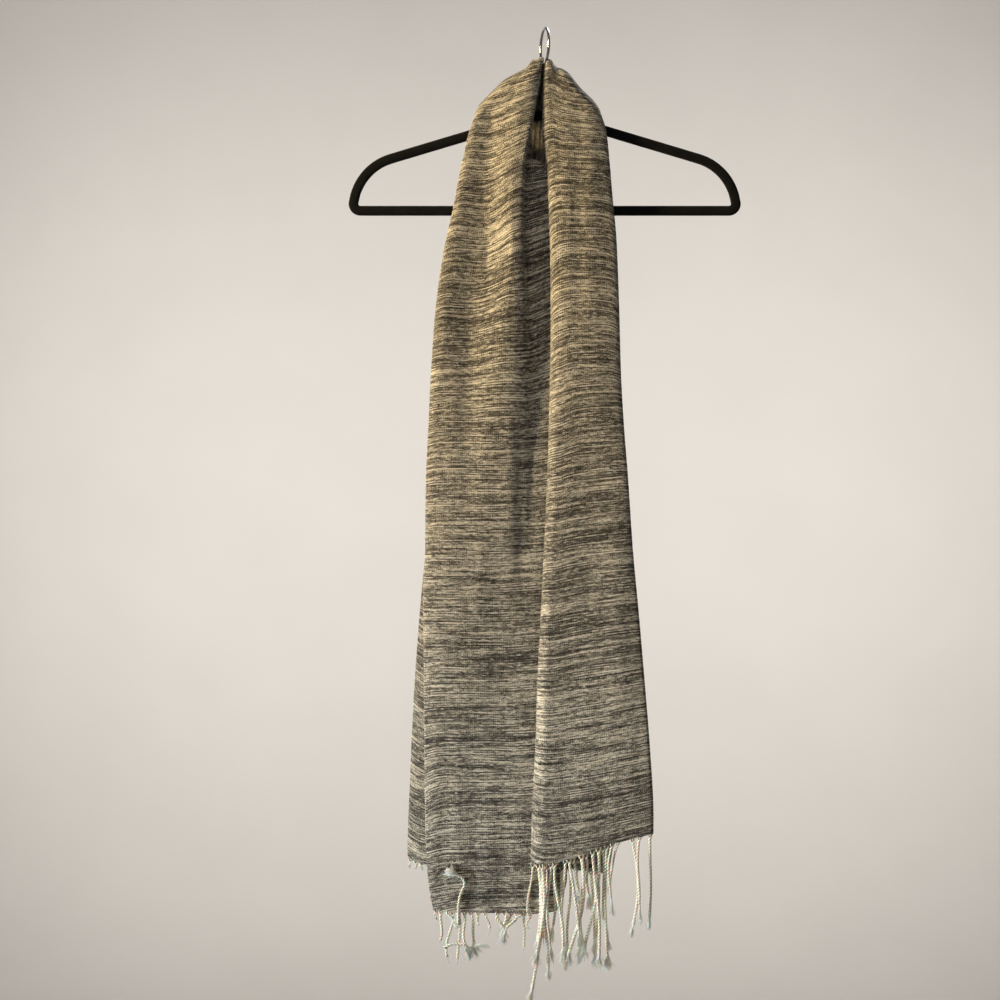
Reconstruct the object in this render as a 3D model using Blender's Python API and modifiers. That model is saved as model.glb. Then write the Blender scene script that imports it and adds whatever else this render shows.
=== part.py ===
"""A rebozo shawl hung like a scarf round the neck of a slim flocked clothes hanger.

Metres, +Z up. The origin is the inside top of the hook, where a rail carries the hanger. The hanger lies in the
plane y = 0, +X is to the right of a person who faces the shawl, and -Y points towards that person.
"""

import math

import bmesh
import bpy
import numpy as np
from mathutils import Vector

MM = 0.001

# Cloth
WALL = 1.6 * MM  # the wall of each layer
SEAM = 0.3 * MM  # between neighbouring pieces
RIDGE_SEAM = 0.6 * MM  # how far each piece stops short of the ridge, where the walls meet at a slant
HEM_SEAM = 0.5 * MM  # from a hem down to its fringe
ROOF = 16 * MM  # radius of the turn over the hanger's arms

# Hanger
HANGER_HALF_WIDTH = 219.5 * MM  # middle of the bar's end, from the hook's line
ARM_HEIGHT = 11.2 * MM
ARM_THICKNESS = 5.5 * MM
ARM_CHAMFER = 1.5 * MM
NECK_HEIGHT = -93.8 * MM  # where the lines of the two arms meet
ARM_SLOPE = 0.30
SHOULDER_X = 210 * MM
BAR_HEIGHT = -205.6 * MM
NECK_RADIUS = 80 * MM
SHOULDER_RADIUS = 60 * MM
CORNER_RADIUS = 8 * MM

# Hook
WIRE = 3.0 * MM
HOOK_RADIUS = 20 * MM  # to the wire's middle
HOOK_SWIVEL = math.radians(-78)  # the hook is turned so that its tip points back
SHANK_TOP = -46 * MM
HOOK_START = math.radians(-58)  # where the round part begins, from level
HOOK_END = math.radians(216)

# Fringe
STRIP = 4 * MM  # height of the strip that carries the cords
CORD = 3.4 * MM
CORD_STEPS = 6

FINISHES = {
    # colour, roughness, metallic
    "cloth": ((0.30, 0.26, 0.20), 0.85, 0.0),
    "fringe": ((0.62, 0.53, 0.38), 0.80, 0.0),
    "flock": ((0.012, 0.012, 0.014), 0.95, 0.0),
    "chrome": ((0.75, 0.76, 0.78), 0.15, 1.0),
}


def joined(key, values, wanted):
    """Values of a table column at the wanted keys: smooth between rows, and never past them."""
    order = np.argsort(key)
    k, v = np.asarray(key, float)[order], np.asarray(values, float)[order]
    step = np.diff(k)
    slope = np.diff(v) / step
    tangent = np.concatenate([slope[:1], np.zeros(len(k) - 2), slope[-1:]])
    for i in range(1, len(k) - 1):
        if slope[i - 1] * slope[i] > 0:
            before, after = 2 * step[i] + step[i - 1], step[i] + 2 * step[i - 1]
            tangent[i] = (before + after) / (before / slope[i - 1] + after / slope[i])
    at = np.clip(np.asarray(wanted, float), k[0], k[-1])
    i = np.clip(np.searchsorted(k, at) - 1, 0, len(k) - 2)
    t = (at - k[i]) / step[i]
    return (
        v[i] * (1 + 2 * t) * (1 - t) ** 2
        + v[i + 1] * t * t * (3 - 2 * t)
        + step[i] * (tangent[i] * t * (1 - t) ** 2 - tangent[i + 1] * t * t * (1 - t))
    )


class Table:
    """Rows of sizes in millimetres under named columns. The first column is the key."""

    def __init__(self, columns, rows):
        values = np.array(rows, float) * MM
        self.names = columns.split()
        self.values = dict(zip(self.names, values.T))

    def at(self, column, wanted):
        return joined(self.values[self.names[0]], self.values[column], wanted)


# The top edge of the cloth from the front: it stands up round the hook's shank and slopes to each side.
RIDGE = Table("across height", [
    (-84, -98),
    (-75, -85),
    (-65, -75),
    (-47, -58),
    (-29, -47),
    (-6, -36),
    (8, -37.5),
    (20, -45),
    (29, -54),
    (44, -71),
    (61, -88),
    (68, -100),
])

# The left end's front layer. Places across, then how far each stands out from the hanger's plane.
# crest is the tall fold beside the slit, edge its side, and tuck the cloth in the slit.
LEFT = Table("height  left crest edge tuck right  left_out valley_out crest_out edge_out tuck_out", [
    (-26,     -75,   -38,  -6,    -7,    -12,   16,   16,   16,   15,   9.5),
    (-60,     -75,   -38,  -4.7,  -6,    -12,   16,   16,   17,   15,   9),
    (-100,    -81,   -39,  -11.3, -12,   -18,   12,   16,   20,   16,   8),
    (-130,    -89,   -38,  -17.5, -17,   -20,   8.5,  15,   23,   17,   8),
    (-150,    -93.4, -38,  -21.5, -19.5, -10,   8,    14,   25,   18,   8),
    (-170,    -97.5, -38,  -24.5, -21,   6,     8,    13,   26,   19,   8.5),
    (-200,    -103,  -38,  -27,   -22.5, 11,    7.5,  13,   27,   20,   9),
    (-250,    -114,  -39,  -26,   -21,   14,    7,    12,   27,   20,   9.5),
    (-320,    -124,  -38,  -20.5, -14,   15,    6.9,  13,   25,   19.5, 10.5),
    (-390,    -129,  -40,  -17,   -9,    16,    6.8,  14,   22,   17.5, 12),
    (-450,    -132,  -42,  -18,   -8,    17,    6.8,  14.5, 19.5, 16,   13.5),
    (-520,    -135,  -45,  -20,   -8,    18,    6.8,  14.5, 17.5, 15.5, 14.5),
    (-640,    -139,  -48,  -22,   -8,    20,    7.5,  14,   16,   15,   14.5),
    (-760,    -137,  -48,  -22,   -8,    23,    8.5,  14,   15.5, 15,   14.5),
    (-880,    -136,  -48,  -22,   -8,    25,    9,    14,   15,   15,   14.5),
    (-960,    -133,  -48,  -22,   -8,    25,    9,    13.5, 15,   14.5, 14.5),
    (-1003,   -126,  -48,  -22,   -8,    12.5,  9,    13.5, 15,   14.5, 14.5),
])
LEFT_HEM = Table("across height", [(-126, -1000.5), (-60, -1002), (-10, -1003), (12.5, -999.5)])
VALLEY = 0.45  # place of the valley, from the left edge to the crest

# The layer behind it, which is looped over the left arm.
BACK = Table("height  left right  out", [
    (-95,     -80,   -14,   5.2),
    (-160,    -94,   -18,   4.9),
    (-230,    -109,  -20,   4.8),
    (-400,    -129,  -10,   4.85),
    (-520,    -135,  -4,    4.85),
    (-640,    -140,  0,     4.9),
    (-700,    -145,  2,     5.2),
    (-760,    -149,  3,     5.5),
    (-847,    -153,  4,     6),
    (-934,    -156,  5,     6.5),
    (-957,    -155,  5,     6.5),
])
BACK_HEM = Table("across height", [(-155, -943), (-134, -949), (5, -957)])
BACK_LOOP = 5.3 * MM  # radius of its turn over the arm
BACK_DROP = 12 * MM  # how far it hangs down behind the arm

# The right end. fold is its left edge, where it turns under; under is the layer that is turned under.
RIGHT = Table("height  fold right under  fold_out middle_out right_out under_out", [
    (-28,     7.6,   61,    36,    16,   16,   16,   11),
    (-41,     2,     61,    36,    16,   16,   16,   11),
    (-54,     -0.5,  61,    37,    16,   16,   16,   11),
    (-88,     -1.8,  62,    41,    16,   16.5, 15.5, 11),
    (-120,    -2.3,  69.5,  45,    16.5, 18,   14,   11.5),
    (-157,    2.3,   73,    50,    19,   20,   13.5, 12.5),
    (-195,    4,     76,    53,    21,   22,   13,   13),
    (-240,    5.6,   80,    57,    23,   24,   13.5, 13.5),
    (-316,    6.8,   83,    61,    24,   25,   14,   14.2),
    (-391,    6.2,   85,    63,    25,   25.5, 15,   15.5),
    (-447,    4.6,   88,    65,    25.5, 26,   16,   17),
    (-512,    2.6,   93,    68,    26,   26.5, 17,   18),
    (-587,    -0.8,  98,    71,    26.5, 27,   18,   18.4),
    (-663,    -4.5,  105,   74,    27,   27.5, 19,   18.5),
    (-756,    -9,    113,   77,    27.5, 28,   20,   18.5),
    (-806,    -10.5, 117,   79,    28,   28.5, 20.5, 18.5),
    (-891,    -14.7, 121.5, 80,    28,   29,   21.5, 18.5),
    (-957,    -16,   121,   72,    28,   29,   21.5, 18.5),
])
RIGHT_HEM = Table("across height", [
    (-16, -945.5),
    (0, -945),
    (22, -941),
    (44, -932.5),
    (70, -923),
    (96, -916.5),
    (121, -910),
])
UNDER_HEM = Table("across height", [(-16, -946), (20, -951), (72, -957)])
FOLD_ROUND = 3.5 * MM  # how far the fold's turn reaches across
FRONT_HEM_POINTS = 12  # of the right end's hem that lie before the fold
UNDER_HEM_START = 15  # the first hem point of the layer turned under

# The middle stretch: nested loops that hang behind the hook, from the hook outwards.
BAND = Table("width  left right drop", [
    (0,       -6,    8,     9),
    (250,     -23,   21,    33),
    (500,     -41,   35,    60),
    (750,     -58,   48,    86),
    (1000,    -75,   61,    112),
])
BAND_FOLDS = 2.5  # soft folds from its upper to its lower edge
BAND_FOLD_DEPTH = 3.5 * MM

# Cords. root is the place along the hem; the cord hangs to foot and ends at the height end. bow is how far its
# middle swings to the right, and out how far it stands in front of the hem's line.
RIGHT_CORDS = [
    (-14.0, -20, -1004, 0, -3),
    (-7.5, -15, -1094, 4, 0),
    (-3.0, 2, -1079, -1, 5),
    (1.5, 5, -1043, 0, -1),
    (6.0, 0, -1005, -1, -4),
    (10.5, 19, -1032, 1, 3),
    (22.0, 20, -1046, -3, 0),
    (26.5, 36, -1024, 1, 5),
    (31.0, 25, -1055, 6, -3),
    (41.5, 34, -1040, 0, 2),
    (46.0, 48, -987, 3, -3),
    (53.5, 27, -1046, 4, 5),
    (61.0, 46, -1043, 2, 1),
    (67.5, 71, -1049, -3, -2),
    (79.5, 68, -992, -8, 0),
    (97.0, 99, -1021, 6, 0),
    (106.0, 106, -1004, -2, 4),
    (117.5, 117, -1012, 1, 0),
]
UNDER_CORDS = [
    (-6.0, -8, -1040, 2, 0.5),
    (2.5, 6, -1052, -2, 1),
    (11.0, 9, -1030, 1, 0.5),
    (19.0, 22, -1061, -2, 1),
    (27.5, 25, -1048, 1, 0),
    (35.0, 39, -1054, 2, 0.5),
    (43.0, 41, -1036, -2, 1),
    (51.5, 56, -1058, 1, 0),
    (59.5, 57, -1044, 2, 1),
    (67.5, 70, -1038, -2, 0),
]
LEFT_CORDS = [
    (-117.5, -119, -1038, 1, 0),
    (-109.0, -108, -1026, -1, 1),
    (-103.0, -111, -1055, -1, -2),
    (-96.0, -98, -1056, 1, 1),
    (-90.5, -88, -1046, -1, 3),
    (-84.0, -82, -1040, 1, -1),
    (-76.0, -76, -1031, 0, 1),
    (-67.5, -63, -1022, 1, 0),
    (-59.0, -56, -1034, 1, -1),
    (-52.0, -47, -1031, -2, 1),
    (-44.0, -45, -1024, 1, 2),
    (-38.5, -36, -1036, 1, -2),
    (-33.0, -43, -1032, 2, 4),
    (-25.0, -24, -1044, 1, 0),
    (-20.0, -22, -1026, 1, 2),
]
BACK_CORDS = [
    (-152.0, -153, -951.5, 0, -1.5),
    (-146.0, -146, -953, 0, -1.5),
    (-140.0, -141, -954.5, 0, -1.5),
    (-130.0, -128, -988, 1, -1.5),
    (-117.0, -119, -996, -1, -1.5),
    (-104.0, -102, -990, 1, -1.5),
    (-91.0, -93, -998, 1, -1.5),
    (-78.0, -76, -993, -1, -1.5),
    (-65.0, -67, -997, 1, -1.5),
    (-52.0, -50, -989, 1, -1.5),
    (-39.0, -41, -996, -1, -1.5),
    (-26.0, -24, -991, 1, -1.5),
    (-13.0, -15, -997, 1, -1.5),
    (-1.0, 1, -994, 0, -1.5),
]
# One cord of the left end is flipped up and lies on the cloth: across, height and distance out from the panel.
FLIPPED_CORD = [
    (-98.0, -1011, 0),
    (-98.0, -1014, 2.2),
    (-98.0, -1011, 4.4),
    (-98.3, -998, 3.8),
    (-97.6, -985, 3.6),
    (-94.5, -972, 3.6),
    (-95.5, -962, 3.4),
    (-102, -956, 3.2),
    (-112, -954, 2.8),
]


def ridge_height(x):
    return RIDGE.at("height", x)


def ridge_top(x):
    """Height of the ridge along the cloth, measured as if it stood straight up, with room left for the seam."""
    return ridge_height(x) + ROOF * (math.pi / 2 - 1) - RIDGE_SEAM


def draped(x, out, height, side):
    """Points of cloth that stand out from the hanger's plane and, above the turn, bend back over its arms.
    side is -1 in front of the hanger and 1 behind it."""
    turn_start = ridge_height(x) - ROOF
    turn = np.clip((height - turn_start) / ROOF, 0, math.pi / 2)
    z = np.where(turn > 0, turn_start + out * np.sin(turn), height)
    return np.stack([x, side * out * np.cos(turn), z], axis=-1)


def rows_down(top, hem, rows, crowding=1.65, top_fade=90 * MM, hem_fade=120 * MM):
    """Heights of a sheet's rows for columns that start at top and end at hem: level except near both ends."""
    level = top[0] + (hem[0] - top[0]) * (np.linspace(0, 1, rows + 1) ** crowding)[:, None]
    near_top = np.exp(-(top[0] - level) / top_fade)
    near_hem = np.exp(-(level - hem[0]) / hem_fade)
    reach = np.exp(-(top[0] - hem[0]) / top_fade), np.exp(-(top[0] - hem[0]) / hem_fade)
    near_top = (near_top - reach[0]) / (1 - reach[0])
    near_hem = (near_hem - reach[1]) / (1 - reach[1])
    return level + (top - top[0]) * near_top + (hem - hem[0]) * near_hem


def across(points, segments):
    """Points between a row's control points, smooth across the row, with so many segments in each gap."""
    knots = np.arange(len(points))
    wanted = np.concatenate([np.arange(n) / n + i for i, n in enumerate(segments)] + [[knots[-1]]])
    return np.stack([joined(knots, points[:, axis], wanted) for axis in range(points.shape[1])], axis=-1)


def left_front_grid(rows=30, segments=(3, 3, 3, 3, 3)):
    """Rows of points of the left end's front layer, from the ridge to the hem."""
    top_x = np.array([-75, -56, -38, -6, -7, -12]) * MM
    hem_x = np.array([-126, -91, -48, -22, -8, 12.5]) * MM
    heights = rows_down(ridge_top(top_x), LEFT_HEM.at("height", hem_x), rows)
    grid = []
    for h in heights:
        left, crest = LEFT.at("left", h[0]), LEFT.at("crest", h[2])
        valley = left + (crest - left) * VALLEY
        xs = [left, valley, crest, LEFT.at("edge", h[3]), LEFT.at("tuck", h[4]), LEFT.at("right", h[5])]
        outs = [LEFT.at(name, h[i]) for i, name in enumerate(
            ("left_out", "valley_out", "crest_out", "edge_out", "tuck_out"))]
        outs.append(LEFT.at("tuck_out", h[5]))
        row = across(np.stack([xs, outs, h], axis=-1), segments)
        grid.append(draped(row[:, 0], row[:, 1], row[:, 2], -1))
    return np.array(grid)


def right_tail_grid(rows=28, segments=(3, 3, 3, 2, 2, 2, 4)):
    """Rows of points of the right end: from its right edge to the fold, and back to the right under it.

    A row has five control points of the front layer, the last on the fold, and three of the layer turned under.
    """
    # Places of the front points, from the fold to the right edge.
    shares = np.array([1.0, 0.66, 0.33, 0.06, 0.0])
    top_x = np.array([61, 45, 27, 10, 7.6, 10, 20, 36]) * MM
    hem_x = np.array([121, 74, 30, -8, -16, -8, 25, 72]) * MM
    hem = np.concatenate([RIGHT_HEM.at("height", hem_x[:5]), UNDER_HEM.at("height", hem_x[5:])])
    heights = rows_down(ridge_top(top_x), hem, rows)
    grid = []
    for h in heights:
        fold = RIGHT.at("fold", h)
        front_x = fold[:5] + (RIGHT.at("right", h[:5]) - fold[:5]) * shares
        turned_x = fold[5] + FOLD_ROUND
        under_x = RIGHT.at("under", h[6:])
        xs = [*front_x, turned_x, 0.5 * (turned_x + under_x[0]), under_x[1]]
        outs = [
            RIGHT.at("right_out", h[0]),
            *RIGHT.at("middle_out", h[1:3]),
            RIGHT.at("fold_out", h[3]),
            0.5 * (RIGHT.at("fold_out", h[4]) + RIGHT.at("under_out", h[4])),
            *RIGHT.at("under_out", h[5:]),
        ]
        row = across(np.stack([xs, outs, h], axis=-1), segments)
        grid.append(draped(row[:, 0], row[:, 1], row[:, 2], -1))
    return np.array(grid)


def arm_top(x):
    """Height of the top of a hanger's arm."""
    return NECK_HEIGHT - ARM_SLOPE * np.abs(x) + 0.5 * ARM_HEIGHT * math.hypot(1, ARM_SLOPE)


def left_back_grid(rows=20, columns=9, loop_steps=8):
    """Rows of points of the layer behind: up the back of the left arm, over it, and down to the hem."""
    share = np.linspace(0, 1, columns + 1)
    x_top = BACK.at("left", -110 * MM) * (1 - share) + BACK.at("right", -110 * MM) * share
    top = arm_top(x_top) + 1.9 * SEAM + 0.5 * WALL
    start = top - BACK_LOOP
    grid = [np.stack([x_top, np.full_like(share, BACK_LOOP), start - BACK_DROP], axis=-1)]
    for turn in np.linspace(0, math.pi, loop_steps + 1):
        y = np.full_like(share, BACK_LOOP * math.cos(turn))
        grid.append(np.stack([x_top, y, start + BACK_LOOP * math.sin(turn)], axis=-1))
    hem_x = BACK.at("left", -943 * MM) * (1 - share) + BACK.at("right", -957 * MM) * share
    heights = rows_down(start, BACK_HEM.at("height", hem_x), rows, crowding=1.3)
    for h in heights[1:]:
        settle = np.exp(-(start - h) / (25 * MM))
        x = (BACK.at("left", h) * (1 - share) + BACK.at("right", h) * share) * (1 - settle) + x_top * settle
        grid.append(np.stack([x, -BACK.at("out", h), h], axis=-1))
    return np.array(grid)


def neck_band_grid(along=22, over=11):
    """Rows of points of the middle stretch: each is a loop from the left ridge, behind the hook, to the right."""
    grid = []
    angle = np.linspace(0, math.pi, along + 1)
    share = 0.5 * (1 - np.cos(angle))
    for width in np.linspace(0, 1, over + 1):
        left, right, drop = (BAND.at(name, width) for name in ("left", "right", "drop"))
        x = left + (right - left) * share
        ends = ridge_top(left) * (1 - share) + ridge_top(right) * share
        height = ends - drop * np.sin(angle)
        wave = BAND_FOLD_DEPTH * (1 - math.cos(2 * math.pi * BAND_FOLDS * width)) * np.sin(angle) ** 2
        grid.append(draped(x, ROOF + wave, height, 1))
    return np.array(grid)


def new_object(name, data, finish, collection):
    """Links an object and gives it a material of its own."""
    colour, roughness, metallic = FINISHES[finish]
    material = bpy.data.materials.new(f"{name} {finish}")
    material.use_nodes = True
    shader = material.node_tree.nodes["Principled BSDF"]
    shader.inputs["Base Color"].default_value = (*colour, 1)
    shader.inputs["Roughness"].default_value = roughness
    shader.inputs["Metallic"].default_value = metallic
    material.diffuse_color = (*colour, 1)
    data.materials.append(material)
    thing = bpy.data.objects.new(name, data)
    collection.objects.link(thing)
    return thing


def cloth(name, grid, collection):
    """A layer of cloth: a sheet through a grid of points, with a wall."""
    rows, columns = grid.shape[:2]
    mesh = bpy.data.meshes.new(name)
    faces = [
        (r * columns + c, r * columns + c + 1, (r + 1) * columns + c + 1, (r + 1) * columns + c)
        for r in range(rows - 1)
        for c in range(columns - 1)
    ]
    mesh.from_pydata([tuple(p) for p in grid.reshape(-1, 3)], [], faces)
    mesh.shade_smooth()
    sheet = new_object(name, mesh, "cloth", collection)
    wall = sheet.modifiers.new("wall", "SOLIDIFY")
    wall.thickness = WALL
    wall.offset = 0
    wall.use_even_offset = True
    wall.thickness_clamp = 1.0
    return sheet


def cord_path(root, row):
    """Points down one cord: a smooth swing from its root to its foot."""
    foot, end, bow, out = (v * MM for v in row[1:])
    path = []
    for t in np.linspace(0, 1, CORD_STEPS + 1)[1:]:
        ease = t * t * (3 - 2 * t)
        swing = math.sin(math.pi * t)
        path.append(Vector((
            root.x + (foot - root.x) * ease + bow * swing,
            root.y - out * min(1.0, 2 * t) * (1.5 - 0.5 * t),
            root.z + (end - root.z) * t,
        )))
    return path


def grow_cord(bm, ring, path, width):
    """Carries a four-sided cord on from a ring of corners along a path, and closes its end."""
    centre = sum((v.co for v in ring), Vector()) / 4
    corners = [Vector((x * width / 2, y * width / 2, 0)) for x, y in ((-1, 1), (1, 1), (1, -1), (-1, -1))]
    heading = Vector((0, 0, -1))
    stops = [centre, *path]
    for i in range(1, len(stops)):
        ahead = (stops[min(i + 1, len(stops) - 1)] - stops[i - 1]).normalized()
        turn = heading.rotation_difference(ahead)
        corners = [turn @ c for c in corners]
        heading = ahead
        size = 0.7 if i == len(stops) - 1 else 1.0
        following = [bm.verts.new(stops[i] + c * size) for c in corners]
        for k in range(4):
            bm.faces.new((ring[k], ring[(k + 1) % 4], following[(k + 1) % 4], following[k]))
        ring = following
    bm.faces.new(ring)


def fringe(name, hem, cords, collection, flipped=None):
    """A narrow strip just below a hem, with the cords that grow out of its lower side."""
    order = np.argsort(hem[:, 0])
    along = hem[order]

    def on_hem(x, down):
        y, z = (float(np.interp(x, along[:, 0], along[:, axis])) for axis in (1, 2))
        return Vector((x, y, z - HEM_SEAM - down))

    paths = {row[0] * MM: row for row in cords}
    if flipped:
        paths[flipped[0][0] * MM] = None
    edges = {x + side * CORD / 2: x if side < 0 else None for x in paths for side in (-1, 1)}
    free = [x for x in along[:, 0] if all(abs(x - root) > 0.6 * CORD for root in paths)]
    stations = sorted([*edges, *free])
    bm = bmesh.new()
    rings = []
    for x in stations:
        upper, lower = on_hem(x, 0), on_hem(x, STRIP)
        half = Vector((0, WALL / 2, 0))
        rings.append([bm.verts.new(p) for p in (upper - half, upper + half, lower + half, lower - half)])
    bm.faces.new(rings[0])
    bm.faces.new(rings[-1][::-1])
    for start, a, b in zip(stations, rings, rings[1:]):
        for k in (0, 1, 3):
            bm.faces.new((a[k], b[k], b[(k + 1) % 4], a[(k + 1) % 4]))
        x = edges.get(start)
        if x is None:
            bm.faces.new((a[2], b[2], b[3], a[3]))
            continue
        row = paths[x]
        root = on_hem(x, STRIP)
        if row:
            path = cord_path(root, row)
        else:
            path = [Vector((px * MM, root.y - out * MM, pz * MM)) for px, pz, out in flipped]
        grow_cord(bm, [a[2], b[2], b[3], a[3]], path, CORD)
    bmesh.ops.recalc_face_normals(bm, faces=bm.faces)
    mesh = bpy.data.meshes.new(name)
    bm.to_mesh(mesh)
    bm.free()
    return new_object(name, mesh, "fringe", collection)


def rounded_loop(corners, step=math.radians(12)):
    """A closed path through corners of (x, z, radius), each turned with an arc."""
    points = []
    for i, (x, z, radius) in enumerate(corners):
        here = Vector((x, z))
        before = (Vector(corners[i - 1][:2]) - here).normalized()
        after = (Vector(corners[(i + 1) % len(corners)][:2]) - here).normalized()
        half = before.angle(after) / 2
        centre = here + (before + after).normalized() * radius / math.sin(half)
        start = here + before * radius / math.tan(half) - centre
        end = here + after * radius / math.tan(half) - centre
        turn = start.angle_signed(end)
        count = 2 * math.ceil(abs(turn) / step / 2)
        for k in range(count + 1):
            a = -turn * k / count
            points.append(centre + Vector((
                start.x * math.cos(a) - start.y * math.sin(a),
                start.x * math.sin(a) + start.y * math.cos(a),
            )))
    return points


def poly_curve(name, points, dimensions, cyclic):
    data = bpy.data.curves.new(name, "CURVE")
    data.dimensions = dimensions
    spline = data.splines.new("POLY")
    spline.points.add(len(points) - 1)
    for slot, p in zip(spline.points, points):
        slot.co = (*p, 1) if len(p) == 3 else (*p, 0, 1)
    spline.use_cyclic_u = cyclic
    return data


def hanger_body(collection, guides):
    """One closed loop: two sloping arms, rounded shoulders and a straight bar."""
    x, y, c = ARM_HEIGHT / 2, ARM_THICKNESS / 2, ARM_CHAMFER
    corners = [
        (c - x, -y), (-x, c - y), (-x, y - c), (c - x, y),
        (x - c, y), (x, y - c), (x, c - y), (x - c, -y),
    ]
    section = bpy.data.objects.new("arm_section", poly_curve("arm_section", corners, "2D", True))
    section.hide_render = True
    section.display_type = "WIRE"
    guides.objects.link(section)
    shoulder = NECK_HEIGHT - ARM_SLOPE * SHOULDER_X
    loop = rounded_loop([
        (0, NECK_HEIGHT, NECK_RADIUS),
        (SHOULDER_X, shoulder, SHOULDER_RADIUS),
        (HANGER_HALF_WIDTH, BAR_HEIGHT, CORNER_RADIUS),
        (-HANGER_HALF_WIDTH, BAR_HEIGHT, CORNER_RADIUS),
        (-SHOULDER_X, shoulder, SHOULDER_RADIUS),
    ])
    data = poly_curve("hanger_body", loop, "2D", True)
    data.bevel_mode = "OBJECT"
    data.bevel_object = section
    body = new_object("hanger_body", data, "flock", collection)
    body.rotation_euler = (math.radians(90), 0, 0)
    return body


def hanger_hook(collection):
    """Round wire: a straight shank that swings out, round over the rail and down to the tip."""
    neck_top = NECK_HEIGHT - NECK_RADIUS * (math.hypot(1, ARM_SLOPE) - 1) + ARM_HEIGHT / 2
    centre = WIRE / 2 - HOOK_RADIUS
    flat = [(0, neck_top + SEAM), (0, SHANK_TOP - 25 * MM), (0, SHANK_TOP)]
    bend_out = (HOOK_RADIUS * math.cos(HOOK_START), centre + HOOK_RADIUS * math.sin(HOOK_START))
    for t in (0.25, 0.5, 0.75):  # a soft double bend from the shank to the round part
        handle_a = (0, SHANK_TOP + 5 * MM)
        handle_b = (bend_out[0] - 5 * MM, bend_out[1] - 3 * MM)
        flat.append(tuple(
            (1 - t) ** 3 * a + 3 * (1 - t) ** 2 * t * b + 3 * (1 - t) * t * t * c + t**3 * d
            for a, b, c, d in zip((0, SHANK_TOP), handle_a, handle_b, bend_out)
        ))
    for a in np.linspace(HOOK_START, HOOK_END, 26):
        flat.append((HOOK_RADIUS * math.cos(a), centre + HOOK_RADIUS * math.sin(a)))
    points = [(h * math.cos(HOOK_SWIVEL), h * math.sin(HOOK_SWIVEL), z) for h, z in flat]
    data = poly_curve("hanger_hook", points, "3D", False)
    data.bevel_depth = WIRE / 2
    data.bevel_resolution = 2
    data.use_fill_caps = True
    return new_object("hanger_hook", data, "chrome", collection)


def main():
    for thing in list(bpy.data.objects):
        bpy.data.objects.remove(thing, do_unlink=True)
    shawl = bpy.data.collections.new("rebozo_on_hanger")
    guides = bpy.data.collections.new("guides")
    for collection in (shawl, guides):
        bpy.context.scene.collection.children.link(collection)

    hanger_body(shawl, guides)
    hanger_hook(shawl)
    left, right, back = left_front_grid(), right_tail_grid(), left_back_grid()
    cloth("neck_band", neck_band_grid(), shawl)
    cloth("left_front", left, shawl)
    cloth("left_back", back, shawl)
    cloth("right_tail", right, shawl)
    fringe("right_fringe", right[-1][:FRONT_HEM_POINTS], RIGHT_CORDS, shawl)
    fringe("under_fringe", right[-1][UNDER_HEM_START:], UNDER_CORDS, shawl)
    fringe("left_fringe", left[-1], LEFT_CORDS, shawl, FLIPPED_CORD)
    fringe("back_fringe", back[-1], BACK_CORDS, shawl)


main()
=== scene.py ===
"""The looks of a rebozo shawl hung like a scarf round the neck of a slim flocked clothes hanger.

The cloth is modelled as thin shells on the same tables of sizes as the solids, with finer folds and creases. Each point
of a shell also carries its place in the weave, in millimetres along the weft and the warp, and the cloth's material is
woven from that place alone, so the wefts follow the drape.
"""

import math

import bpy
import numpy as np
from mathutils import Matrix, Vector


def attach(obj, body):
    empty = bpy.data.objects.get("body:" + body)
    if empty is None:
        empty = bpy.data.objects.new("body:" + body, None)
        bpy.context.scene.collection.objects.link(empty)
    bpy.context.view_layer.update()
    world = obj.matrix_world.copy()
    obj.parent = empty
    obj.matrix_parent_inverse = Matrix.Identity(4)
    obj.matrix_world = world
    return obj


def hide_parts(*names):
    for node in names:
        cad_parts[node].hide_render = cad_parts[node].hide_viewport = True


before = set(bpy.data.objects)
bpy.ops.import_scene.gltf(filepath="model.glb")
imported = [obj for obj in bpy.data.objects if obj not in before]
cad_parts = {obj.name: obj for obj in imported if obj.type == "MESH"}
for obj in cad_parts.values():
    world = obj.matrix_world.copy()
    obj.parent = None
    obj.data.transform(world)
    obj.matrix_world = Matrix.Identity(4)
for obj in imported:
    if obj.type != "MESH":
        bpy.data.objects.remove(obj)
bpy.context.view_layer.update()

MM = 0.001

# ---------------------------------------------------------------- sizes shared with the solids
ROOF = 16 * MM
SHELL = 0.9 * MM  # the wall of the cloth as it shows

HANGER_HALF_WIDTH = 219.5 * MM
ARM_HEIGHT = 11.2 * MM
ARM_THICKNESS = 5.5 * MM
NECK_HEIGHT = -93.8 * MM
ARM_SLOPE = 0.30
SHOULDER_X = 210 * MM
BAR_HEIGHT = -205.6 * MM
NECK_RADIUS = 80 * MM
SHOULDER_RADIUS = 60 * MM
CORNER_RADIUS = 8 * MM

WIRE = 3.0 * MM
HOOK_RADIUS = 20 * MM
HOOK_SWIVEL = math.radians(-78)
SHANK_TOP = -46 * MM
HOOK_START = math.radians(-58)
HOOK_END = math.radians(216)


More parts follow.
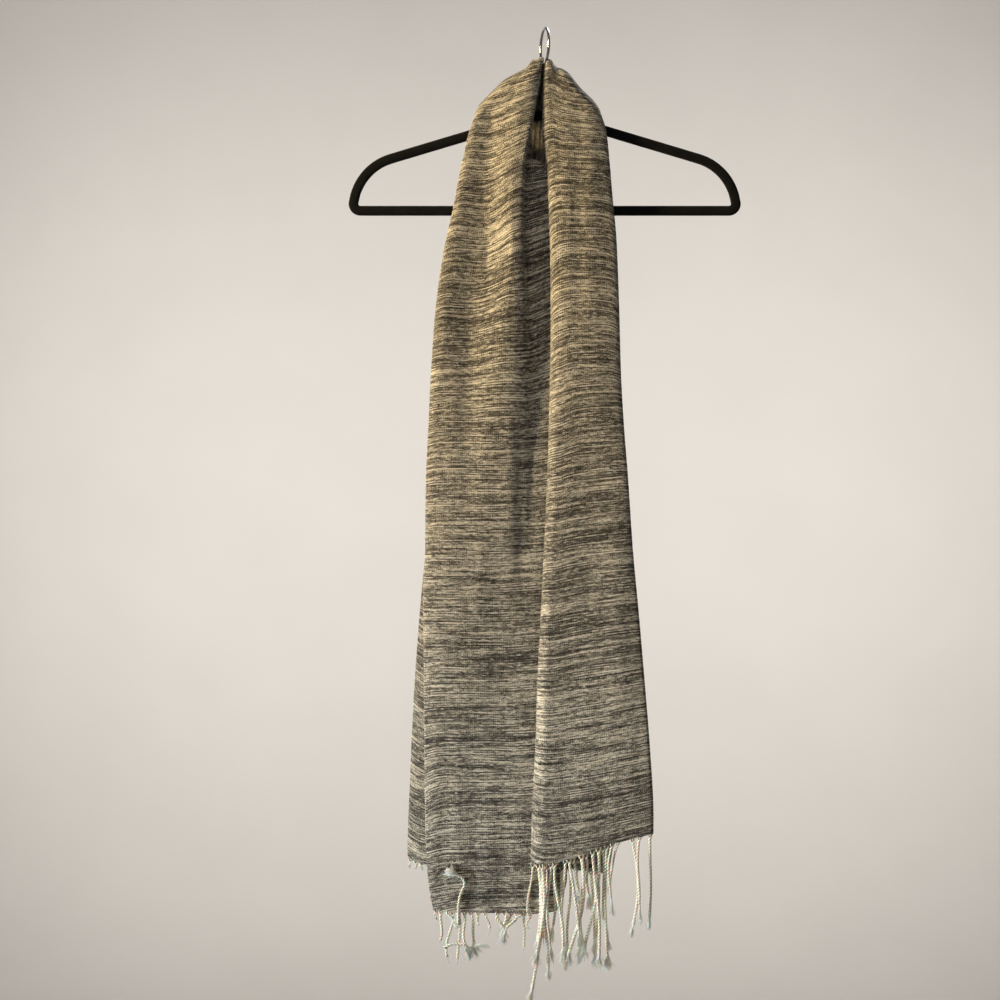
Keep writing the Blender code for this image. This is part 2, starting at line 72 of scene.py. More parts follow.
def joined(key, values, wanted):
    """Values of a table column at the wanted keys: smooth between rows, and never past them."""
    order = np.argsort(key)
    k, v = np.asarray(key, float)[order], np.asarray(values, float)[order]
    step = np.diff(k)
    slope = np.diff(v) / step
    tangent = np.concatenate([slope[:1], np.zeros(len(k) - 2), slope[-1:]])
    for i in range(1, len(k) - 1):
        if slope[i - 1] * slope[i] > 0:
            before, after = 2 * step[i] + step[i - 1], step[i] + 2 * step[i - 1]
            tangent[i] = (before + after) / (before / slope[i - 1] + after / slope[i])
    at = np.clip(np.asarray(wanted, float), k[0], k[-1])
    i = np.clip(np.searchsorted(k, at) - 1, 0, len(k) - 2)
    t = (at - k[i]) / step[i]
    return (
        v[i] * (1 + 2 * t) * (1 - t) ** 2
        + v[i + 1] * t * t * (3 - 2 * t)
        + step[i] * (tangent[i] * t * (1 - t) ** 2 - tangent[i + 1] * t * t * (1 - t))
    )


class Table:
    """Rows of sizes in millimetres under named columns. The first column is the key."""

    def __init__(self, columns, rows):
        values = np.array(rows, float) * MM
        self.names = columns.split()
        self.values = dict(zip(self.names, values.T))

    def at(self, column, wanted):
        return joined(self.values[self.names[0]], self.values[column], wanted)


# The line along which the cloth bends over the hanger's neck.
RIDGE = Table("across height", [
    (-84, -98), (-75, -86), (-65, -75.5), (-47, -58), (-40, -53.5), (-29, -47.5),
    (-21, -44), (-16, -37.5), (-13.5, -34.5), (-10, -34.8), (-6, -31.8), (-2, -31.5),
    (3, -33), (7, -34), (9.5, -38), (13, -42), (20, -45), (29, -52.5),
    (37, -63), (44, -71), (61, -88), (68, -100),
])

# The left end at each height: where its outer edge, valley, crest, the slit's edge, tuck and hidden edge lie, how far
# out they stand, and how deep and how widely the outer edge rolls back.
LEFT = Table(
    "height  left valley crest edge tuck right  left_out valley_out crest_out edge_out tuck_out  roll round", [
    (-26,   -75,    -50,   -17,   -1,    -2,    -8,   16,   16,   16,   16,   9.5,  0,   5),
    (-42,   -75,    -50,   -17,   -4,    -5,    -11,  16,   16,   16.5, 15.5, 9,    0,   5),
    (-60,   -75,    -50,   -18,   -5.5,  -6.5,  -12,  16,   15.5, 18.5, 14.5, 9,    0,   5),
    (-100,  -81,    -66,   -28,   -15,   -12.5, -18,  13.5, 11.5, 21.5, 20.3, 8,    2,   5),
    (-130,  -89,    -68,   -30,   -20.5, -19,   -22,  13,   10.5, 23,   22.2, 7.5,  3,   5),
    (-145,  -92,    -69,   -32,   -23.5, -21.3, -24,  13,   10,   23.5, 22.7, 7.5,  4,   5),
    (-148,  -93,    -69,   -32,   -23.8, -21.3, -15,  13,   10,   23.5, 22.7, 7.5,  4,   5),
    (-151,  -93.6,  -69.5, -32.5, -24.2, -21,   -6,   13,   9.9,  23.6, 22.8, 7.5,  4,   5),
    (-157,  -95,    -70,   -34,   -25.3, -20.5, 1,    13.6, 9.5,  23.8, 23,   7.5,  4,   5),
    (-170,  -97.5,  -70,   -35,   -26.3, -21,   6,    14,   9,    23.8, 23,   8,    4.5, 5),
    (-200,  -103,   -69,   -36.5, -27.5, -22,   11,   14.8, 8.4,  23.8, 23,   8.5,  5,   5),
    (-250,  -114,   -70,   -37,   -27.5, -21,   14,   15,   8.2,  24,   22.8, 8.5,  5.5, 6),
    (-320,  -124,   -83,   -42,   -25,   -17,   15,   15.2, 8.8,  23.3, 20.6, 9,    6.5, 8),
    (-390,  -129,   -90,   -49,   -24,   -14,   16,   15.3, 10.6, 21.6, 18.2, 9.3,  7,   9),
    (-450,  -132,   -96,   -51,   -24,   -13,   17,   15,   12,   19.4, 15.8, 9.4,  7,   9),
    (-520,  -135,   -96,   -50,   -24,   -13,   18,   15,   13.2, 17.2, 13.8, 9.8,  7,   9),
    (-600,  -136,   -92,   -46,   -24,   -13,   19,   14.6, 14,   15.4, 13,   11.5, 6.5, 10),
    (-640,  -138,   -90,   -44,   -22,   -9,    20,   14.2, 14.2, 14.5, 13.2, 12.4, 5.5, 11),
    (-700,  -137.5, -92,   -46,   -22,   -8,    21,   13.8, 14.4, 14.2, 13.6, 13,   4.5, 11),
    (-760,  -137,   -94,   -48,   -22,   -8,    23,   13.5, 14.5, 14.2, 13.8, 13.6, 4,   11),
    (-880,  -136,   -96,   -48,   -22,   -8,    25,   13.5, 14,   14.2, 14.4, 14.6, 4,   11),
    (-960,  -133,   -95,   -48,   -22,   -8,    25,   13,   13.5, 14,   14.4, 14.8, 3.5, 10),
    (-1003, -126,   -91,   -48,   -22,   -8,    12.5, 12.5, 13.5, 14,   14.4, 14.8, 3,   10),
])
LEFT_HEM = Table("across height", [(-126, -1000.5), (-60, -1002), (-10, -1003), (12.5, -999.5)])
# How far a weft of the left end has risen at each of those places, and how far it droops round the outer edge.
LEFT_WEFT = Table("height  left valley crest edge tuck right  droop reach", [
    (-26,   0, 0,  9,  12,  12,  10, 1,   5),
    (-60,   0, 0,  9,  14,  12,  10, 2,   5),
    (-100,  0, -1, 10, 15,  12,  10, 4,   5),
    (-145,  0, -2, 11, 16,  14,  11, 5,   5),
    (-157,  0, -2, 12, 16,  15,  18, 5,   5),
    (-200,  0, -3, 12, 15,  16,  26, 5,   5),
    (-250,  0, -3, 11, 14,  15,  28, 5,   6),
    (-320,  0, -2, 8,  10,  12,  26, 5,   7),
    (-390,  0, -1, 3,  4,   6,   16, 4,   8),
    (-450,  0, 0,  1,  1.5, 3,   8,  3,   8),
    (-560,  0, 0,  0,  1,   1.5, 5,  2,   8),
    (-640,  0, -1, 0,  1,   2,   4,  0.5, 9),
    (-760,  0, -1, -1, 0,   1,   2,  3.5, 11),
    (-820,  0, -1, -1, 0,   1,   2,  6,   12),
    (-880,  0, -1, -1, 0,   1,   2,  12,  12),
    (-920,  0, -1, -1, 0,   1,   2,  8,   15),
    (-960,  0, -1, -1, 0,   1,   2,  9,   22),
    (-1003, 0, 0,  0,  0,   0,   1,  8,   24),
])
# Small folds and creases of the left end: each runs from one point to another, with a width and a depth.
LEFT_CREASES = [
    (-58, -100, -60, -150, 5, -1.0), (-64, -235, -66, -310, 4, -1.6), (-46, -120, -50, -230, 8, 1.2),
    (-30, -70, -34, -110, 6, 1.5), (-50, -58, -64, -84, 5, -1.1), (-29, -52, -40, -96, 4, -0.8),
    (-112, -300, -120, -430, 8, 0.9), (-100, -350, -106, -500, 9, 0.8), (-26, -440, -27, -640, 8, -1.3),
    (-119, -693, -96, -676, 3.5, 1.2), (-79, -761, -62, -750, 3.5, 1.1), (-38, -596, -14, -584, 5, -1.3),
    (-60, -660, -86, -700, 10, -1.0), (-88, -700, -89, -810, 1.3, 0.35), (-98, -829, -99, -965, 1.3, 0.35),
    (-53, -569, -54, -625, 1.3, 0.3), (-112, -820, -118, -990, 8, -1.0), (-58, -850, -62, -995, 12, 0.8),
    (-70, -560, -66, -760, 16, 1.0),
]

# The layer behind the left end.
BACK = Table("height  left right  out roll", [
    (-95,  -80,  -14, 5.2,  0),
    (-160, -92,  -18, 4.9,  0),
    (-230, -104, -20, 4.8,  0),
    (-400, -122, -10, 4.85, 0),
    (-520, -129, -4,  4.85, 0),
    (-600, -136, -2,  4.9,  1),
    (-640, -140, 0,   5.5,  3),
    (-700, -145, 2,   6.5,  5),
    (-760, -149, 3,   7.0,  6),
    (-847, -153, 4,   7.3,  6.5),
    (-934, -156, 5,   7.3,  5),
    (-957, -155, 5,   7.3,  4),
])
BACK_HEM = Table("across height", [(-155, -943), (-134, -949), (5, -957)])
BACK_LOOP = 5.0 * MM  # radius of its bend over the arm
BACK_DROP = 45 * MM  # length of its flap behind the arm

# The right end at each height: its fold, its right edge and the edge of the layer turned under it, how far out they
# stand, and how deep and how widely the fold rolls back.
RIGHT = Table("height  fold right under  fold_out middle_out right_out under_out  roll reach", [
    (-28,  2.5,   61,    36, 16,   16,   16,   11,   0,   9),
    (-41,  0.5,   61,    36, 16,   16.5, 16,   11,   0.5, 9),
    (-54,  -1.0,  61,    37, 16.3, 17,   16,   11,   1.5, 9),
    (-88,  -2.2,  62,    41, 17.5, 17.5, 16,   11,   3,   9),
    (-120, -2.3,  69.5,  45, 19,   18.5, 16,   11.5, 5,   10),
    (-157, 2.3,   73,    50, 19.5, 21,   18.8, 12.5, 6,   9),
    (-195, 4,     76,    53, 21.5, 23,   20.8, 13,   7,   10),
    (-240, 5.6,   80,    57, 23.5, 25,   22.8, 13.5, 7.5, 10),
    (-316, 6.8,   83,    61, 24.5, 26,   23.7, 14.2, 8,   11),
    (-391, 6.2,   85,    63, 25.3, 26.8, 24.5, 15.5, 8,   11),
    (-447, 4.6,   88,    65, 26,   27.3, 25,   17,   8,   11),
    (-512, 2.6,   93,    68, 26.5, 27.6, 26,   18,   8,   11),
    (-587, -0.8,  98,    71, 26.8, 27.4, 26,   18.4, 8,   11),
    (-663, -4.5,  105,   74, 27,   27.2, 26,   18.5, 8,   12),
    (-756, -9,    113,   77, 27.5, 27.2, 26,   18.5, 8.5, 13),
    (-806, -10.5, 117,   79, 27.8, 27.2, 26,   18.5, 9,   14),
    (-891, -14.7, 121.5, 80, 27.8, 27.3, 26.3, 18.5, 9,   15),
    (-957, -16,   121,   72, 27.8, 27.3, 26.3, 18.5, 9,   15),
])
RIGHT_HEM = Table("across height", [
    (-16, -945.5), (0, -945), (22, -941), (44, -932.5),
    (70, -923), (96, -916.5), (121, -910),
])
UNDER_HEM = Table("across height", [(-16, -946), (20, -951), (72, -957)])
FOLD_ROUND = 3.5 * MM
EDGE_DIP = 1.2 * MM  # how far the outer edges turn back
# How far a weft of the right end has risen from its fold, at places from the fold to the right edge.
RIGHT_WEFT = Table("height  near mid far right  droop fold_droop", [
    (-28,  0,   -6, -12,  -15, 1,   3),
    (-88,  0,   -7, -12,  -14, 2,   3),
    (-120, 0.5, -5, -8,   -9,  3,   4),
    (-157, 1.5, -1, -2.5, -2,  4,   5),
    (-195, 3,   2,  1,    0,   5,   6),
    (-250, 4,   5,  4,    2,   6,   8),
    (-316, 5,   7,  6.5,  4,   6,   8),
    (-391, 2,   6,  7,    6,   4,   6),
    (-450, 1,   6,  10,   12,  2,   4),
    (-540, 1,   6,  10,   13,  1.5, 2),
    (-663, 1,   6,  11,   16,  1,   1),
    (-756, 0,   4,  11,   18,  0.5, 0),
    (-830, -1,  2,  10,   19,  0,   -1.5),
    (-891, -2,  1,  9,    20,  0,   -3),
    (-957, -1,  3,  12,   24,  0,   -3),
])
RIGHT_CREASES = [
    (36, -130, 40, -340, 8, -0.7), (50, -300, 58, -470, 12, 0.6), (12, -92, 40, -146, 6, 0.9),
    (16, -62, 46, -88, 5, -0.9), (24, -110, 60, -128, 4, -0.5), (30, -480, 28, -760, 15, 0.6),
    (48, -520, 56, -800, 13, -1.1), (80, -560, 92, -860, 13, 1.2), (34, -780, 38, -940, 12, 0.6),
    (66, -840, 70, -925, 10, -1.3), (104, -700, 110, -905, 7, -0.9),
]

# The neck band at thousandths of its width: its two ends on the ridge, and how far it hangs behind them.
BAND = Table("width  left right drop", [
    (0,    -6,  8,  9),
    (250,  -23, 21, 33),
    (500,  -41, 35, 60),
    (750,  -58, 48, 86),
    (1000, -75, 61, 112),
])
BAND_FOLDS = 2.5
BAND_FOLD_DEPTH = 3.5 * MM
BAND_WEAVE = 165, 210  # millimetres of cloth across and along it

# Cords: root along the hem, where it hangs to, its end's height, the swing of its middle to the right, how far it
# stands out, the weight of its yarn, and how it ends.
RIGHT_CORDS = [
    (-14, -20, -1004, 0, -3, 0.75, "bare"),
    (-8, -14.5, -1094, 7, 0, 1.05, "tuft"),
    (-4, -9, -1052, 5, 4, 1.05, "burst"),
    (-0.5, 3, -1070, -3, 1, 1.05, "tuft"),
    (6.5, -2, -1032, -1, -3, 0.9, "bare"),
    (10.7, 19.5, -1050, 0, 4, 0.95, "brush"),
    (22.5, 21, -1047, -3, 0, 0.9, "tuft"),
    (26.5, 37, -1032, 1, 5, 0.95, "brush"),
    (30.5, 36.5, -983, 1, -3, 0.9, "tuft"),
    (40.5, 27, -1054, 8, 2, 1.2, "burst"),
    (45.2, 48.5, -991, 0, -3, 0.95, "burst"),
    (53, 60, -1054, 2, 5, 0.95, "tuft"),
    (59.5, 45, -1046, 5, 1, 1.15, "burst"),
    (64.5, 65, -1004, 1, -2, 0.85, "brush"),
    (69, 69.5, -1058, -2, 0, 0.95, "burst"),
    (75.5, 73.5, -997, -4, 4, 0.8, "brush"),
    (81.5, 73, -973, -1, 0, 0.7, "tuft"),
    (97.5, 99, -1022, 6, 0, 0.95, "tuft"),
    (106, 105.5, -1005, -2, 4, 0.8, "brush"),
    (117.5, 117, -1014, 1, 0, 0.95, "tuft"),
]
UNDER_CORDS = [
    (-6, -8, -1040, 2, 0.5, 0.9, "tuft"),
    (2.5, 6, -1052, -2, 1, 0.9, "brush"),
    (11, 9, -1030, 1, 0.5, 0.9, "brush"),
    (19, 22, -1061, -2, 1, 0.9, "tuft"),
    (27.5, 25, -1048, 1, 0, 0.9, "tuft"),
    (35, 39, -1054, 2, 0.5, 0.9, "brush"),
    (43, 41, -1036, -2, 1, 0.9, "tuft"),
    (51.5, 56, -1058, 1, 0, 0.9, "tuft"),
    (59.5, 57, -1044, 2, 1, 0.9, "brush"),
    (67.5, 70, -1038, -2, 0, 0.9, "tuft"),
]
LEFT_CORDS = [
    (-123, -124, -1009, 0, 0, 0.9, "stub"),
    (-117.5, -118.5, -1038, 1, 0, 0.9, "bare"),
    (-109, -108, -1020, -1, 1, 0.8, "brush"),
    (-104, -110.5, -1056, -1, -2, 0.9, "bare"),
    (-98, -99, -1058, 2, 1, 0.95, "bare"),
    (-91, -90, -1050, -1, 3, 0.95, "burst"),
    (-84, -80.5, -1048, 1, -1, 1, "burst"),
    (-76, -76, -1014, 0, 1, 0.8, "stub"),
    (-67.5, -63, -1025, 1, 0, 0.8, "bare"),
    (-53, -48, -1034, -2, 1, 1.05, "brush"),
    (-46, -46, -1030, 2, 2, 1, "brush"),
    (-38.5, -43, -1027, 1, -2, 0.9, "brush"),
    (-32, -44, -1034, 2, 4, 1, "brush"),
    (-26.5, -34, -1022, 2, 2, 0.9, "brush"),
    (-24, -24.5, -1045, 1, 0, 0.85, "bare"),
    (-18, -20, -1018, 1, 2, 0.8, "stub"),
]
BACK_CORDS = [
    (-152, -153, -951.5, 0, -1.5, 0.8, "stub"),
    (-146, -146, -953, 0, -1.5, 0.9, "stub"),
    (-140, -141, -954.5, 0, -1.5, 0.9, "stub"),
    (-130, -128, -988, 1, -1.5, 0.9, "tuft"),
    (-117, -119, -996, -1, -1.5, 0.9, "tuft"),
    (-104, -102, -990, 1, -1.5, 0.9, "brush"),
    (-91, -93, -998, 1, -1.5, 0.9, "tuft"),
    (-78, -76, -993, -1, -1.5, 0.9, "tuft"),
    (-65, -67, -997, 1, -1.5, 0.9, "brush"),
    (-52, -50, -989, 1, -1.5, 0.9, "tuft"),
    (-39, -41, -996, -1, -1.5, 0.9, "tuft"),
    (-26, -24, -991, 1, -1.5, 0.9, "brush"),
    (-13, -15, -997, 1, -1.5, 0.9, "tuft"),
    (-1, 1, -994, 0, -1.5, 0.9, "tuft"),
]
# Loose cords of the left end, as paths of (x, height, how far out): one flipped up over the cloth and one lying across.
FLIPPED_CORD = [
    (-98, -1003, 0.6), (-98, -1009, 0.4), (-98, -1013, 2.2), (-98, -1009, 3.8),
    (-98, -998, 3.6), (-96.4, -983, 3.6), (-91, -968, 3.8), (-93, -962.5, 3.6),
    (-98.5, -959, 3.6),
]
CROSSING_CORD = [
    (-114, -1041, 3.5), (-103, -1036.5, 4.5), (-92, -1037, 5.5), (-86, -1041, 4.5), (-81, -1040, 3.5),
]


def ridge_height(x):
    return RIDGE.at("height", x)


def ridge_top(x):
    """Height of the ridge along the cloth, measured as if it stood straight up."""
    return ridge_height(x) + ROOF * (math.pi / 2 - 1) - 0.2 * MM


def draped(x, out, height, side):
    """Points of cloth that stand out from the hanger's plane and, above the turn, bend back over its arms."""
    turn_start = ridge_height(x) - ROOF
    turn = np.clip((height - turn_start) / ROOF, 0, math.pi / 2)
    z = np.where(turn > 0, turn_start + out * np.sin(turn), height)
    return np.stack([x, side * out * np.cos(turn), z], axis=-1)


def rows_down(top, hem, rows, crowding=1.65, top_fade=90 * MM, hem_fade=120 * MM):
    """Heights of a sheet's rows for columns that start at top and end at hem: level except near both ends."""
    level = top[0] + (hem[0] - top[0]) * (np.linspace(0, 1, rows + 1) ** crowding)[:, None]
    near_top = np.exp(-(top[0] - level) / top_fade)
    near_hem = np.exp(-(level - hem[0]) / hem_fade)
    reach = np.exp(-(top[0] - hem[0]) / top_fade), np.exp(-(top[0] - hem[0]) / hem_fade)
    near_top = (near_top - reach[0]) / (1 - reach[0])
    near_hem = (near_hem - reach[1]) / (1 - reach[1])
    return level + (top - top[0]) * near_top + (hem - hem[0]) * near_hem


def across(points, segments):
    """Points between a row's control points, smooth across the row, with so many segments in each gap."""
    knots = np.arange(len(points))
    wanted = np.concatenate([np.arange(n) / n + i for i, n in enumerate(segments)] + [[knots[-1]]])
    return np.stack([joined(knots, points[:, axis], wanted) for axis in range(points.shape[1])], axis=-1)


def creased(x, z, creases):
    """How far small folds push the cloth out, each fading at its two ends."""
    out = np.zeros_like(x)
    for x0, z0, x1, z1, width, depth in creases:
        ax, az, bx, bz = x0 * MM, z0 * MM, x1 * MM, z1 * MM
        dx, dz = bx - ax, bz - az
        t = ((x - ax) * dx + (z - az) * dz) / (dx * dx + dz * dz)
        inside = np.clip(t, 0, 1)
        beside = (x - ax - inside * dx) ** 2 + (z - az - inside * dz) ** 2
        fade = np.sin(np.pi * np.clip(0.12 + 0.76 * inside, 0, 1))
        out += depth * MM * fade * np.exp(-beside / (width * MM) ** 2)
    return out


def rippled(x, z, seed):
    """Faint unevenness of hand-woven cloth: long soft ripples down it and small ones across."""
    rng = np.random.default_rng(seed)
    out = np.zeros_like(x)
    for _ in range(7):
        kx, kz = rng.uniform(60, 230), rng.uniform(-14, 14)
        out += rng.uniform(0.10, 0.22) * np.sin(kx * x + kz * z + rng.uniform(0, 6.3))
    for _ in range(6):
        kx, kz = rng.uniform(-90, 90), rng.uniform(120, 420)
        out += rng.uniform(0.04, 0.09) * np.sin(kx * x + kz * z + rng.uniform(0, 6.3))
    return out * MM


def weave_row(row, rise, height, reach, droop):
    """Places in the weave of one row of points, in millimetres: along the weft, and along the warp.

    The wefts have risen by so much, and droop by so much within a reach of the row's first point.
    """
    step = np.linalg.norm(np.diff(row[:, :2], axis=0), axis=1)
    u = np.concatenate([[0], np.cumsum(step)])
    v = height - rise + droop * np.exp(-((u / reach) ** 1.3))
    return np.stack([u / MM, v / MM], axis=-1)


def left_front_grid(rows=420, segments=(20, 18, 16, 10, 16)):
    names = "left", "valley", "crest", "edge", "tuck", "right"
    top_x = np.array([-75, -50, -17, -1, -2, -8]) * MM
    hem_x = np.array([-126, -91, -48, -22, -8, 12.5]) * MM
    heights = rows_down(ridge_top(top_x), LEFT_HEM.at("height", hem_x), rows, crowding=1.25)
    grid, weave = [], []
    for h in heights:
        xs = [LEFT.at(name, at) for name, at in zip(names, h)]
        outs = [LEFT.at(name + "_out", at) for name, at in zip(names[:5], h)] + [LEFT.at("tuck_out", h[5])]
        rises = [LEFT_WEFT.at(name, at) for name, at in zip(names, h)]
        row = across(np.stack([xs, outs, h, rises], axis=-1), segments)
        x, out, z, rise = row.T
        share = np.linspace(0, 1, len(x))
        edge_fade = np.clip(share / 0.05, 0, 1)
        out = out + (creased(x, z, LEFT_CREASES) + rippled(x, z, 3)) * edge_fade
        out = out - (EDGE_DIP + LEFT.at("roll", h[0])) * np.exp(-(x - x[0]) / LEFT.at("round", h[0]))
        grid.append(draped(x, out, z, -1))
        weave.append(weave_row(row, rise, z, LEFT_WEFT.at("reach", h[0]), LEFT_WEFT.at("droop", h[0])))
    return np.array(grid), np.array(weave)


# Segments across the right end: from its right edge to the fold, round it, and along the layer turned under.
RIGHT_SEGMENTS = 14, 14, 12, 8, 8, 8, 8, 14
TO_FOLD = sum(RIGHT_SEGMENTS[:5])
PAST_FOLD = sum(RIGHT_SEGMENTS[:6])


def right_tail_grid(rows=300):
    shares = np.array([1.0, 0.66, 0.33])
    top_x = np.array([61, 45, 27, 12, 6, 2.5, 6, 20, 36]) * MM
    hem_x = np.array([121, 74, 30, 0, -11, -16, -11, 25, 72]) * MM
    hem = np.concatenate([RIGHT_HEM.at("height", hem_x[:6]), UNDER_HEM.at("height", hem_x[6:])])
    heights = rows_down(ridge_top(top_x), hem, rows, crowding=1.25)
    grid, weave = [], []
    for h in heights:
        fold, reach, roll = (RIGHT.at(name, h) for name in ("fold", "reach", "roll"))
        front_x = fold[:3] + (RIGHT.at("right", h[:3]) - fold[:3]) * shares
        turned_x = fold[6] + FOLD_ROUND
        under_x = RIGHT.at("under", h[7:])
        xs = [*front_x, fold[3] + reach[3], fold[4] + 0.3 * reach[4], fold[5],
              turned_x, 0.5 * (turned_x + under_x[0]), under_x[1]]
        fold_out, under_out = RIGHT.at("fold_out", h), RIGHT.at("under_out", h)
        outs = [
            RIGHT.at("right_out", h[0]),
            *RIGHT.at("middle_out", h[1:3]),
            fold_out[3],
            fold_out[4] - 0.45 * roll[4],
            0.5 * (fold_out[5] - roll[5] + under_out[5]),
            *under_out[6:],
        ]
        rises = [RIGHT_WEFT.at(name, at) for name, at in zip(("right", "far", "mid", "near", "near"), h)]
        rises += [0, 0, 2 * MM, 10 * MM]
        row = across(np.stack([xs, outs, h, rises], axis=-1), RIGHT_SEGMENTS)
        x, out, z, rise = row.T
        front = np.arange(len(x)) < TO_FOLD
        fade = np.clip((x - fold[5]) / (8 * MM), 0, 1) * front
        out = out + (creased(x, z, RIGHT_CREASES) + rippled(x, z, 8)) * fade
        out = out - EDGE_DIP * np.exp(-(((x - x[0]) / (2.5 * MM)) ** 2)) * front
        grid.append(draped(x, out, z, -1))
        places = weave_row(row, rise, z, 5 * MM, RIGHT_WEFT.at("droop", h[0]))
        from_fold = np.abs(x - fold[5])
        places[:, 1] += RIGHT_WEFT.at("fold_droop", h[5]) / MM * np.exp(-((from_fold / (7 * MM)) ** 1.4))
        weave.append(places)
    return np.array(grid), np.array(weave)


def arm_top(x):
    return NECK_HEIGHT - ARM_SLOPE * np.abs(x) + 0.5 * ARM_HEIGHT * math.hypot(1, ARM_SLOPE)


def left_back_grid(rows=200, columns=60, loop_steps=12):
    share = np.linspace(0, 1, columns + 1) ** 1.5
    x_top = BACK.at("left", -110 * MM) * (1 - share) + BACK.at("right", -110 * MM) * share
    start = arm_top(x_top) + 1.3 * MM - BACK_LOOP
    grid = [np.stack([x_top, np.full_like(share, BACK_LOOP), start - BACK_DROP], axis=-1)]
    for turn in np.linspace(0, math.pi, loop_steps + 1):
        y = np.full_like(share, BACK_LOOP * math.cos(turn))
        grid.append(np.stack([x_top, y, start + BACK_LOOP * math.sin(turn)], axis=-1))
    hem_x = BACK.at("left", -943 * MM) * (1 - share) + BACK.at("right", -957 * MM) * share
    heights = rows_down(start, BACK_HEM.at("height", hem_x), rows, crowding=1.15)
    for h in heights[1:]:
        settle = np.exp(-(start - h) / (25 * MM))
        x = (BACK.at("left", h) * (1 - share) + BACK.at("right", h) * share) * (1 - settle) + x_top * settle
        out = BACK.at("out", h) + 0.6 * rippled(x, h, 21) * (1 - settle)
        out = out - 1.15 * BACK.at("roll", h) * np.exp(-(x - x[0]) / (11 * MM))
        grid.append(np.stack([x, -out, h], axis=-1))
    grid = np.array(grid)
    down = np.cumsum(np.linalg.norm(np.diff(grid, axis=0, prepend=grid[:1]), axis=-1), axis=0)
    u = grid[..., 0] - grid[:, :1, 0]
    slant = 17 * MM * (1 - np.exp(-u / (17 * MM))) * np.clip((-0.45 - grid[..., 2]) / 0.25, 0, 1)
    return grid, np.stack([u / MM, (-down + slant) / MM], axis=-1)


def neck_band_grid(along=150, over=84):
    grid, weave = [], []
    angle = np.linspace(0, math.pi, along + 1)
    share = 0.5 * (1 - np.cos(angle))
    for width in np.linspace(0, 1, over + 1):
        left, right, drop = (BAND.at(name, width) for name in ("left", "right", "drop"))
        x = left + (right - left) * share
        ends = ridge_top(left) * (1 - share) + ridge_top(right) * share
        height = ends - drop * np.sin(angle)
        wave = BAND_FOLD_DEPTH * (1 - math.cos(2 * math.pi * BAND_FOLDS * width)) * np.sin(angle) ** 2
        small = 0.5 * rippled(x, height, 33) * np.sin(angle) ** 2
        grid.append(draped(x, ROOF + wave + small, height, 1))
        weave.append(np.stack([np.full_like(x, BAND_WEAVE[0] * width), BAND_WEAVE[1] * share], axis=-1))
    return np.array(grid), np.array(weave)


# ---------------------------------------------------------------- materials
class Nodes:
    """A material's node tree, with short calls for the nodes that these materials use."""

    def __init__(self, name):
        self.material = bpy.data.materials.new(name)
        self.material.use_nodes = True
        self.tree = self.material.node_tree
        self.shader = self.tree.nodes["Principled BSDF"]

    def add(self, kind, inputs=(), **settings):
        node = self.tree.nodes.new(kind)
        for key, value in settings.items():
            setattr(node, key, value)
        for key, value in dict(inputs).items():
            self.put(node.inputs[key], value)
        return node

    def put(self, socket, value):
        if isinstance(value, bpy.types.NodeSocket):
            self.tree.links.new(value, socket)
        else:
            socket.default_value = value

    def math(self, operation, a, b=0.0, c=0.0):
        node = self.tree.nodes.new("ShaderNodeMath")
        node.operation = operation
        for socket, value in zip(node.inputs, (a, b, c)):
            self.put(socket, value)
        return node.outputs[0]

    def place(self, u, v, w):
        return self.add("ShaderNodeCombineXYZ", {"X": u, "Y": v, "Z": w}).outputs[0]

    def noise(self, vector, detail=2.0, roughness=0.5, scale=1.0):
        return self.add("ShaderNodeTexNoise", {
            "Vector": vector, "Scale": scale, "Detail": detail, "Roughness": roughness}).outputs["Fac"]

    def ramp(self, value, stops):
        node = self.add("ShaderNodeValToRGB", {"Fac": value})
        points = node.color_ramp.elements
        while len(points) < len(stops):
            points.new(0.5)
        for point, (at, colour) in zip(points, stops):
            point.position, point.color = at, (*colour, 1)
        return node.outputs["Color"]

    def mix(self, share, a, b, blend="MIX"):
        node = self.add("ShaderNodeMix", data_type="RGBA", blend_type=blend)
        for socket, value in ((node.inputs[0], share), (node.inputs[6], a), (node.inputs[7], b)):
            self.put(socket, value)
        return node.outputs[2]

    def finish(self, colour, roughness, normal=None, **fixed):
        self.put(self.shader.inputs["Base Color"], colour)
        self.put(self.shader.inputs["Roughness"], roughness)
        if normal is not None:
            self.put(self.shader.inputs["Normal"], normal)
        for key, value in fixed.items():
            self.shader.inputs[key.replace("_", " ")].default_value = value
        return self.material


def rgb(red, green, blue):
    """Linear values of a screen colour."""
    return tuple((c / 255 / 12.92) if c <= 10 else ((c / 255 + 0.055) / 1.055) ** 2.4 for c in (red, green, blue))


CHARCOAL = rgb(28, 26, 25)
SMOKE = rgb(73, 69, 64)
TAUPE = rgb(130, 124, 113)
BEIGE = rgb(188, 178, 158)
CREAM = rgb(240, 231, 210)
PICK = 1.35  # millimetres from one weft to the next
END = 1.18  # and from one warp thread to the next


